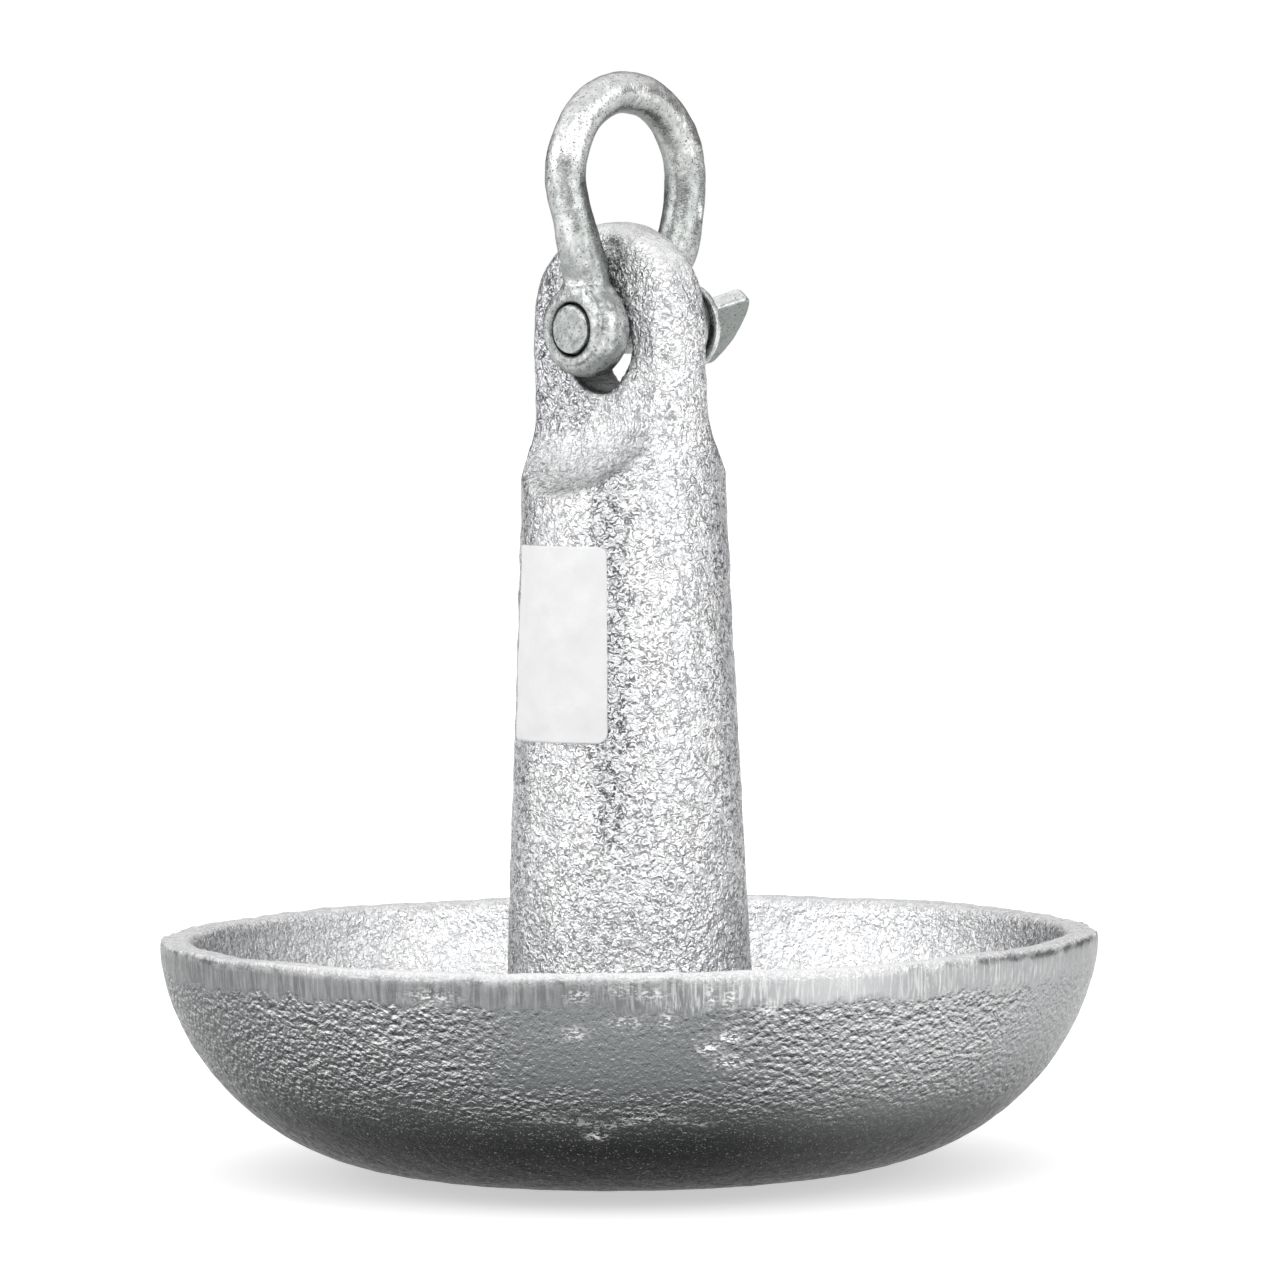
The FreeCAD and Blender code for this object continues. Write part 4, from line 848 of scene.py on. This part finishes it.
def survey_pin(places):
    """Where each point of the pin lies: along it, on its rod, in its thread."""
    at = SimpleNamespace(along=places[:, 0] - PIN_AXIS.x)
    out_y, out_z = places[:, 1] - PIN_AXIS.y, places[:, 2] - PIN_AXIS.z
    at.on_rod = 1 - smoothstep(*ROD_EDGE, np.hypot(out_y, out_z))
    at.threaded = at.on_rod * between(at.along, THREAD_START, THREAD_START + MM, EYE_FACE - MM, EYE_FACE)
    at.cut = 0.5 - 0.5 * np.cos(2 * math.pi * at.along / THREAD_PITCH - np.arctan2(out_z, out_y))
    at.past_collar = smoothstep(*COLLAR_END, at.along)
    return at


def forge_pin(at, places, normals):
    """Dents, the thread's groove, and the rod's rounded end."""
    dents = wobble(places, 5 * MM, 21) * 0.08 + wobble(places, 1.8 * MM, 22) * 0.04
    at_end = smoothstep(-2.0 * MM, 0, -EYE_FACE - at.along) * at.on_rod
    places = places + normals * (dents * MM * (1 - at.threaded) - 0.05 * MM)[:, None]
    shrink = 1 - (at.threaded * at.cut * THREAD_DEPTH + at_end * END_BEVEL) / PIN_RADIUS
    places[:, 1] = PIN_AXIS.y + (places[:, 1] - PIN_AXIS.y) * shrink
    places[:, 2] = PIN_AXIS.z + (places[:, 2] - PIN_AXIS.z) * shrink
    return places


def pin_paints(at, normals):
    """Painted shade under the pin's tab, on its end, on its rod and in its thread, and a painted highlight on
    the tab's bevel.
    """
    below = smoothstep(-0.2, 0.5, -normals[:, 2]) * at.past_collar
    end = smoothstep(0.6, 0.95, -normals[:, 0]) * 0.35
    bevel_highlight = smoothstep(0.55, 0.85, normals[:, 2]) * at.past_collar
    return {
        "shade": np.maximum.reduce([below * 0.85, end, at.threaded * 0.4, at.on_rod * (1 - end) * 0.3]),
        "stain": np.zeros(len(normals)),
        "chip_and_painted_highlight": bevel_highlight * 0.8,
    }


def pin(zinc):
    """Screw pin with its collar, thumb tab and the thread beside the collar."""
    piece = even_copy("galvanised_pin", "screw_pin", PIN_VOXEL)
    mesh = piece.data
    places, _, edges = mesh_arrays(mesh)
    set_places(mesh, relax(places, edges, 2))
    places, normals, _ = mesh_arrays(mesh)
    at = survey_pin(places)
    set_places(mesh, keep_inside(forge_pin(at, places, normals), "screw_pin"))
    paint(mesh, pin_paints(at, normals))
    dress(piece, "screw_pin", "pin", zinc)


LABEL_SIDE = math.radians(181.0)
LABEL_WIDTH = 31.0 * MM
LABEL_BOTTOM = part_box("blank_label")[0].z
LABEL_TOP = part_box("blank_label")[1].z
LABEL_MIDDLE = LABEL_BOTTOM + (LABEL_TOP - LABEL_BOTTOM) / 2
LABEL_HALF_HEIGHT = (LABEL_TOP - LABEL_BOTTOM) / 2
LABEL_CORNER = 2.5 * MM
LABEL_THICKNESS = 0.2 * MM
LABEL_LIFT = 0.04 * MM
LABEL_COLUMNS = 44
LABEL_ROWS = 64
LABEL_SMOOTHING = 6


def label_half_width(from_middle):
    """Half of the sticker's width at a height, narrower in its round corners."""
    into_corner = max(LABEL_CORNER - (LABEL_HALF_HEIGHT - abs(from_middle)), 0.0)
    inset = LABEL_CORNER - math.sqrt(max(LABEL_CORNER ** 2 - into_corner ** 2, 0.0))
    return LABEL_WIDTH / 2 - inset


def label_points(carrier):
    """Turn, height and reach of the sticker's points, stretched over the high points of the skin."""
    ground = BVHTree.FromObject(carrier, bpy.context.evaluated_depsgraph_get())

    def skin_reach(turn, up):
        """How far out the casting's skin lies."""
        way = Vector((math.cos(turn), math.sin(turn), 0.0))
        hit = ground.ray_cast(way * RIM_RADIUS + Vector((0, 0, up)), -way)[0]
        return hit.xy.length

    # Rows lie closer together at the ends, where the corners are round.
    crowded = np.sin(np.linspace(-math.pi / 2, math.pi / 2, LABEL_ROWS))
    rows = crowded * 0.35 + np.linspace(-1, 1, LABEL_ROWS) * 0.65
    about = skin_reach(LABEL_SIDE, LABEL_MIDDLE)
    halves = [label_half_width(row * LABEL_HALF_HEIGHT) for row in rows]
    turns = np.array([LABEL_SIDE + np.linspace(-half, half, LABEL_COLUMNS) / about for half in halves])
    ups = np.repeat((LABEL_MIDDLE + rows * LABEL_HALF_HEIGHT)[:, None], LABEL_COLUMNS, axis=1)
    reach = np.array([[skin_reach(t, u) for t, u in zip(*pair)] for pair in zip(turns, ups)])
    smooth = reach.copy()
    for _ in range(LABEL_SMOOTHING):
        padded = np.pad(smooth, 1, mode="edge")
        around = (padded[:-2, 1:-1] + padded[2:, 1:-1] + padded[1:-1, :-2] + padded[1:-1, 2:]) / 4
        smooth = np.maximum(around, reach)
    return turns, ups, smooth


def label_border():
    """Row and column of each point round the sticker's edge, in order."""
    last_row, last_column = LABEL_ROWS - 1, LABEL_COLUMNS - 1
    border = [(0, j) for j in range(last_column)]
    border += [(i, last_column) for i in range(last_row)]
    border += [(last_row, j) for j in range(last_column, 0, -1)]
    return border + [(i, 0) for i in range(last_row, 0, -1)]


def label_mesh(turns, ups, reach):
    """Closed thin sheet: a back near the skin, a face above it, and the edge between them."""
    builder = bmesh.new()

    def layer(offset):
        """One side of the sticker, as rows of points."""
        out = reach + offset
        points = zip((out * np.cos(turns)).ravel(), (out * np.sin(turns)).ravel(), ups.ravel())
        made = [builder.verts.new(p) for p in points]
        return [made[i * LABEL_COLUMNS:(i + 1) * LABEL_COLUMNS] for i in range(LABEL_ROWS)]

    back, face = layer(LABEL_LIFT), layer(LABEL_LIFT + LABEL_THICKNESS)
    for i in range(LABEL_ROWS - 1):
        for j in range(LABEL_COLUMNS - 1):
            builder.faces.new((face[i][j], face[i][j + 1], face[i + 1][j + 1], face[i + 1][j]))
            builder.faces.new((back[i][j], back[i + 1][j], back[i + 1][j + 1], back[i][j + 1]))
    border = label_border()
    for (i, j), (k, m) in zip(border, border[1:] + border[:1]):
        builder.faces.new((face[i][j], back[i][j], back[k][m], face[k][m]))
    bmesh.ops.recalc_face_normals(builder, faces=builder.faces)
    mesh = bpy.data.meshes.new("blank_sticker")
    builder.to_mesh(mesh)
    builder.free()
    mesh.polygons.foreach_set("use_smooth", [True] * len(mesh.polygons))
    return mesh


def label(carrier):
    """Blank sticker that lies on the shank's rough skin."""
    piece = bpy.data.objects.new("blank_sticker", label_mesh(*label_points(carrier)))
    bpy.context.scene.collection.objects.link(piece)
    dress(piece, "blank_label", "anchor", sticker_material())


# Stage
FLOOR_HALF = 6.0
FLOOR_DROP = 0.05 * MM
FLOOR_TONE = 0.72
FLOOR_GLOW = 0.55
CAMERA_DISTANCE = 1.7
CAMERA_HEIGHT = 214.8 * MM
CAMERA_PITCH = math.radians(2.876)
CAMERA_YAW = math.radians(0.041)
CAMERA_ROLL = 0.0114
SENSOR = 36.0
FOCAL_PIXELS = 7117.3
PICTURE_PIXELS = 1261
AIM_HEIGHT = 0.12

# Tones of the room: its walls, and what they gain beyond the object, behind the camera, above and left.
WALL_TONE = 0.13
WALL_BEYOND, WALL_BEHIND_CAMERA, WALL_ABOVE, WINDOW_TONE = 0.45, 0.10, 0.52, 0.38
CEILING_TONE = 1.04
HORIZON = 0.05, 0.08


def floor():
    """Pale floor that keeps the object's shadow."""
    mesh = bpy.data.meshes.new("floor")
    corners = [(-1, -1), (1, -1), (1, 1), (-1, 1)]
    mesh.from_pydata([(x * FLOOR_HALF, y * FLOOR_HALF, -FLOOR_DROP) for x, y in corners], [], [(0, 1, 2, 3)])
    piece = bpy.data.objects.new("floor", mesh)
    bpy.context.scene.collection.objects.link(piece)
    material = bpy.data.materials.new("pale_floor")
    material.use_nodes = True
    tree = material.node_tree
    shader = tree.nodes["Principled BSDF"]
    shader.inputs["Base Color"].default_value = (FLOOR_TONE, FLOOR_TONE, FLOOR_TONE, 1.0)
    shader.inputs["Roughness"].default_value = 1.0
    shader.inputs["Specular IOR Level"].default_value = 0.0
    rays = tree.nodes.new("ShaderNodeLightPath").outputs
    seen = calc(tree, "MAXIMUM", rays["Is Camera Ray"], rays["Is Glossy Ray"])
    seen = calc(tree, "MAXIMUM", seen, rays["Is Transmission Ray"])
    tree.links.new(times(tree, seen, FLOOR_GLOW), shader.inputs["Emission Strength"])
    shader.inputs["Emission Color"].default_value = (1.0, 1.0, 1.0, 1.0)
    mesh.materials.append(material)


def studio():
    """Pale room: white at the level of the horizon, grey above it beyond the object, bright overhead."""
    world = bpy.data.worlds.new("studio")
    bpy.context.scene.world = world
    world.use_nodes = True
    tree = world.node_tree
    way = tree.nodes.new("ShaderNodeTexCoord").outputs["Generated"]
    ahead = share_along(tree, way, SIGHT)
    leftward = share_along(tree, way, -PICTURE_RIGHT)
    up = height_of(tree, way)
    camera_side = ramp(tree, ahead, -0.5, 0.2, 1.0, 0.0)
    window = times(tree, ramp(tree, leftward, 0.10, 0.55), ramp(tree, up, 0.10, 0.40))
    walls = times(tree, ramp(tree, ahead, 0.95, 0.995), WALL_BEYOND)
    walls = calc(tree, "ADD", walls, times(tree, camera_side, WALL_BEHIND_CAMERA))
    walls = calc(tree, "ADD", walls, WALL_TONE)
    walls = calc(tree, "ADD", walls, ramp(tree, up, 0.12, 0.40, 0.0, WALL_ABOVE))
    walls = calc(tree, "ADD", walls, times(tree, window, WINDOW_TONE))
    overhead = ramp(tree, calc(tree, "ADD", up, times(tree, camera_side, 0.12)), 0.35, 0.75)
    above = times(tree, calc(tree, "SUBTRACT", CEILING_TONE, walls), overhead)
    level = ramp(tree, calc(tree, "ABSOLUTE", up), *HORIZON, 1.0, 0.0)
    tone = calc(tree, "MAXIMUM", calc(tree, "ADD", walls, above), level)
    tree.links.new(tone, tree.nodes["Background"].inputs["Color"])
    tree.nodes["Background"].inputs["Strength"].default_value = 1.0


def soft_lamp(name, degrees_right, height, distance, width, tall, radiance):
    """Large soft box, placed by its angle from the camera's side of the object and aimed at the object."""
    lamp = bpy.data.lights.new(name, "AREA")
    lamp.shape = "RECTANGLE"
    lamp.size, lamp.size_y = width, tall
    lamp.energy = radiance * math.pi * width * tall
    turn = math.radians(degrees_right)
    way = PICTURE_RIGHT * math.sin(turn) - SIGHT * math.cos(turn)
    item = bpy.data.objects.new(name, lamp)
    bpy.context.scene.collection.objects.link(item)
    item.location = way * distance + Vector((0, 0, height))
    aim = Vector((0, 0, AIM_HEIGHT)) - item.location
    item.rotation_mode = "QUATERNION"
    item.rotation_quaternion = aim.to_track_quat("-Z", "Y")


def camera():
    """Camera where the photograph was taken from, as fitted to the bowl's rim and the shackle."""
    data = bpy.data.cameras.new("camera")
    data.sensor_width = SENSOR
    data.lens = SENSOR * FOCAL_PIXELS / PICTURE_PIXELS
    item = bpy.data.objects.new("camera", data)
    bpy.context.scene.collection.objects.link(item)
    level = SIGHT * math.cos(CAMERA_YAW) + PICTURE_RIGHT * math.sin(CAMERA_YAW)
    aim = level * math.cos(CAMERA_PITCH) - Vector((0, 0, 1)) * math.sin(CAMERA_PITCH)
    item.location = -SIGHT * CAMERA_DISTANCE + Vector((0, 0, CAMERA_HEIGHT))
    item.rotation_mode = "QUATERNION"
    item.rotation_quaternion = aim.to_track_quat("-Z", "Y") @ Quaternion((0, 0, 1), -CAMERA_ROLL)
    bpy.context.scene.camera = item


camera()
studio()
floor()
soft_lamp("left_box", -73, height=1.3, distance=3.0, width=3.1, tall=2.0, radiance=1.4)
soft_lamp("right_box", 56, height=1.2, distance=3.0, width=3.2, tall=1.9, radiance=1.6)
soft_lamp("front_box", -5, height=2.4, distance=2.6, width=2.6, tall=1.6, radiance=1.35)
zinc_coat = galvanised_material()
cast_piece = casting()
bow(zinc_coat)
pin(zinc_coat)
label(cast_piece)

bpy.context.scene.view_settings.view_transform = "Standard"
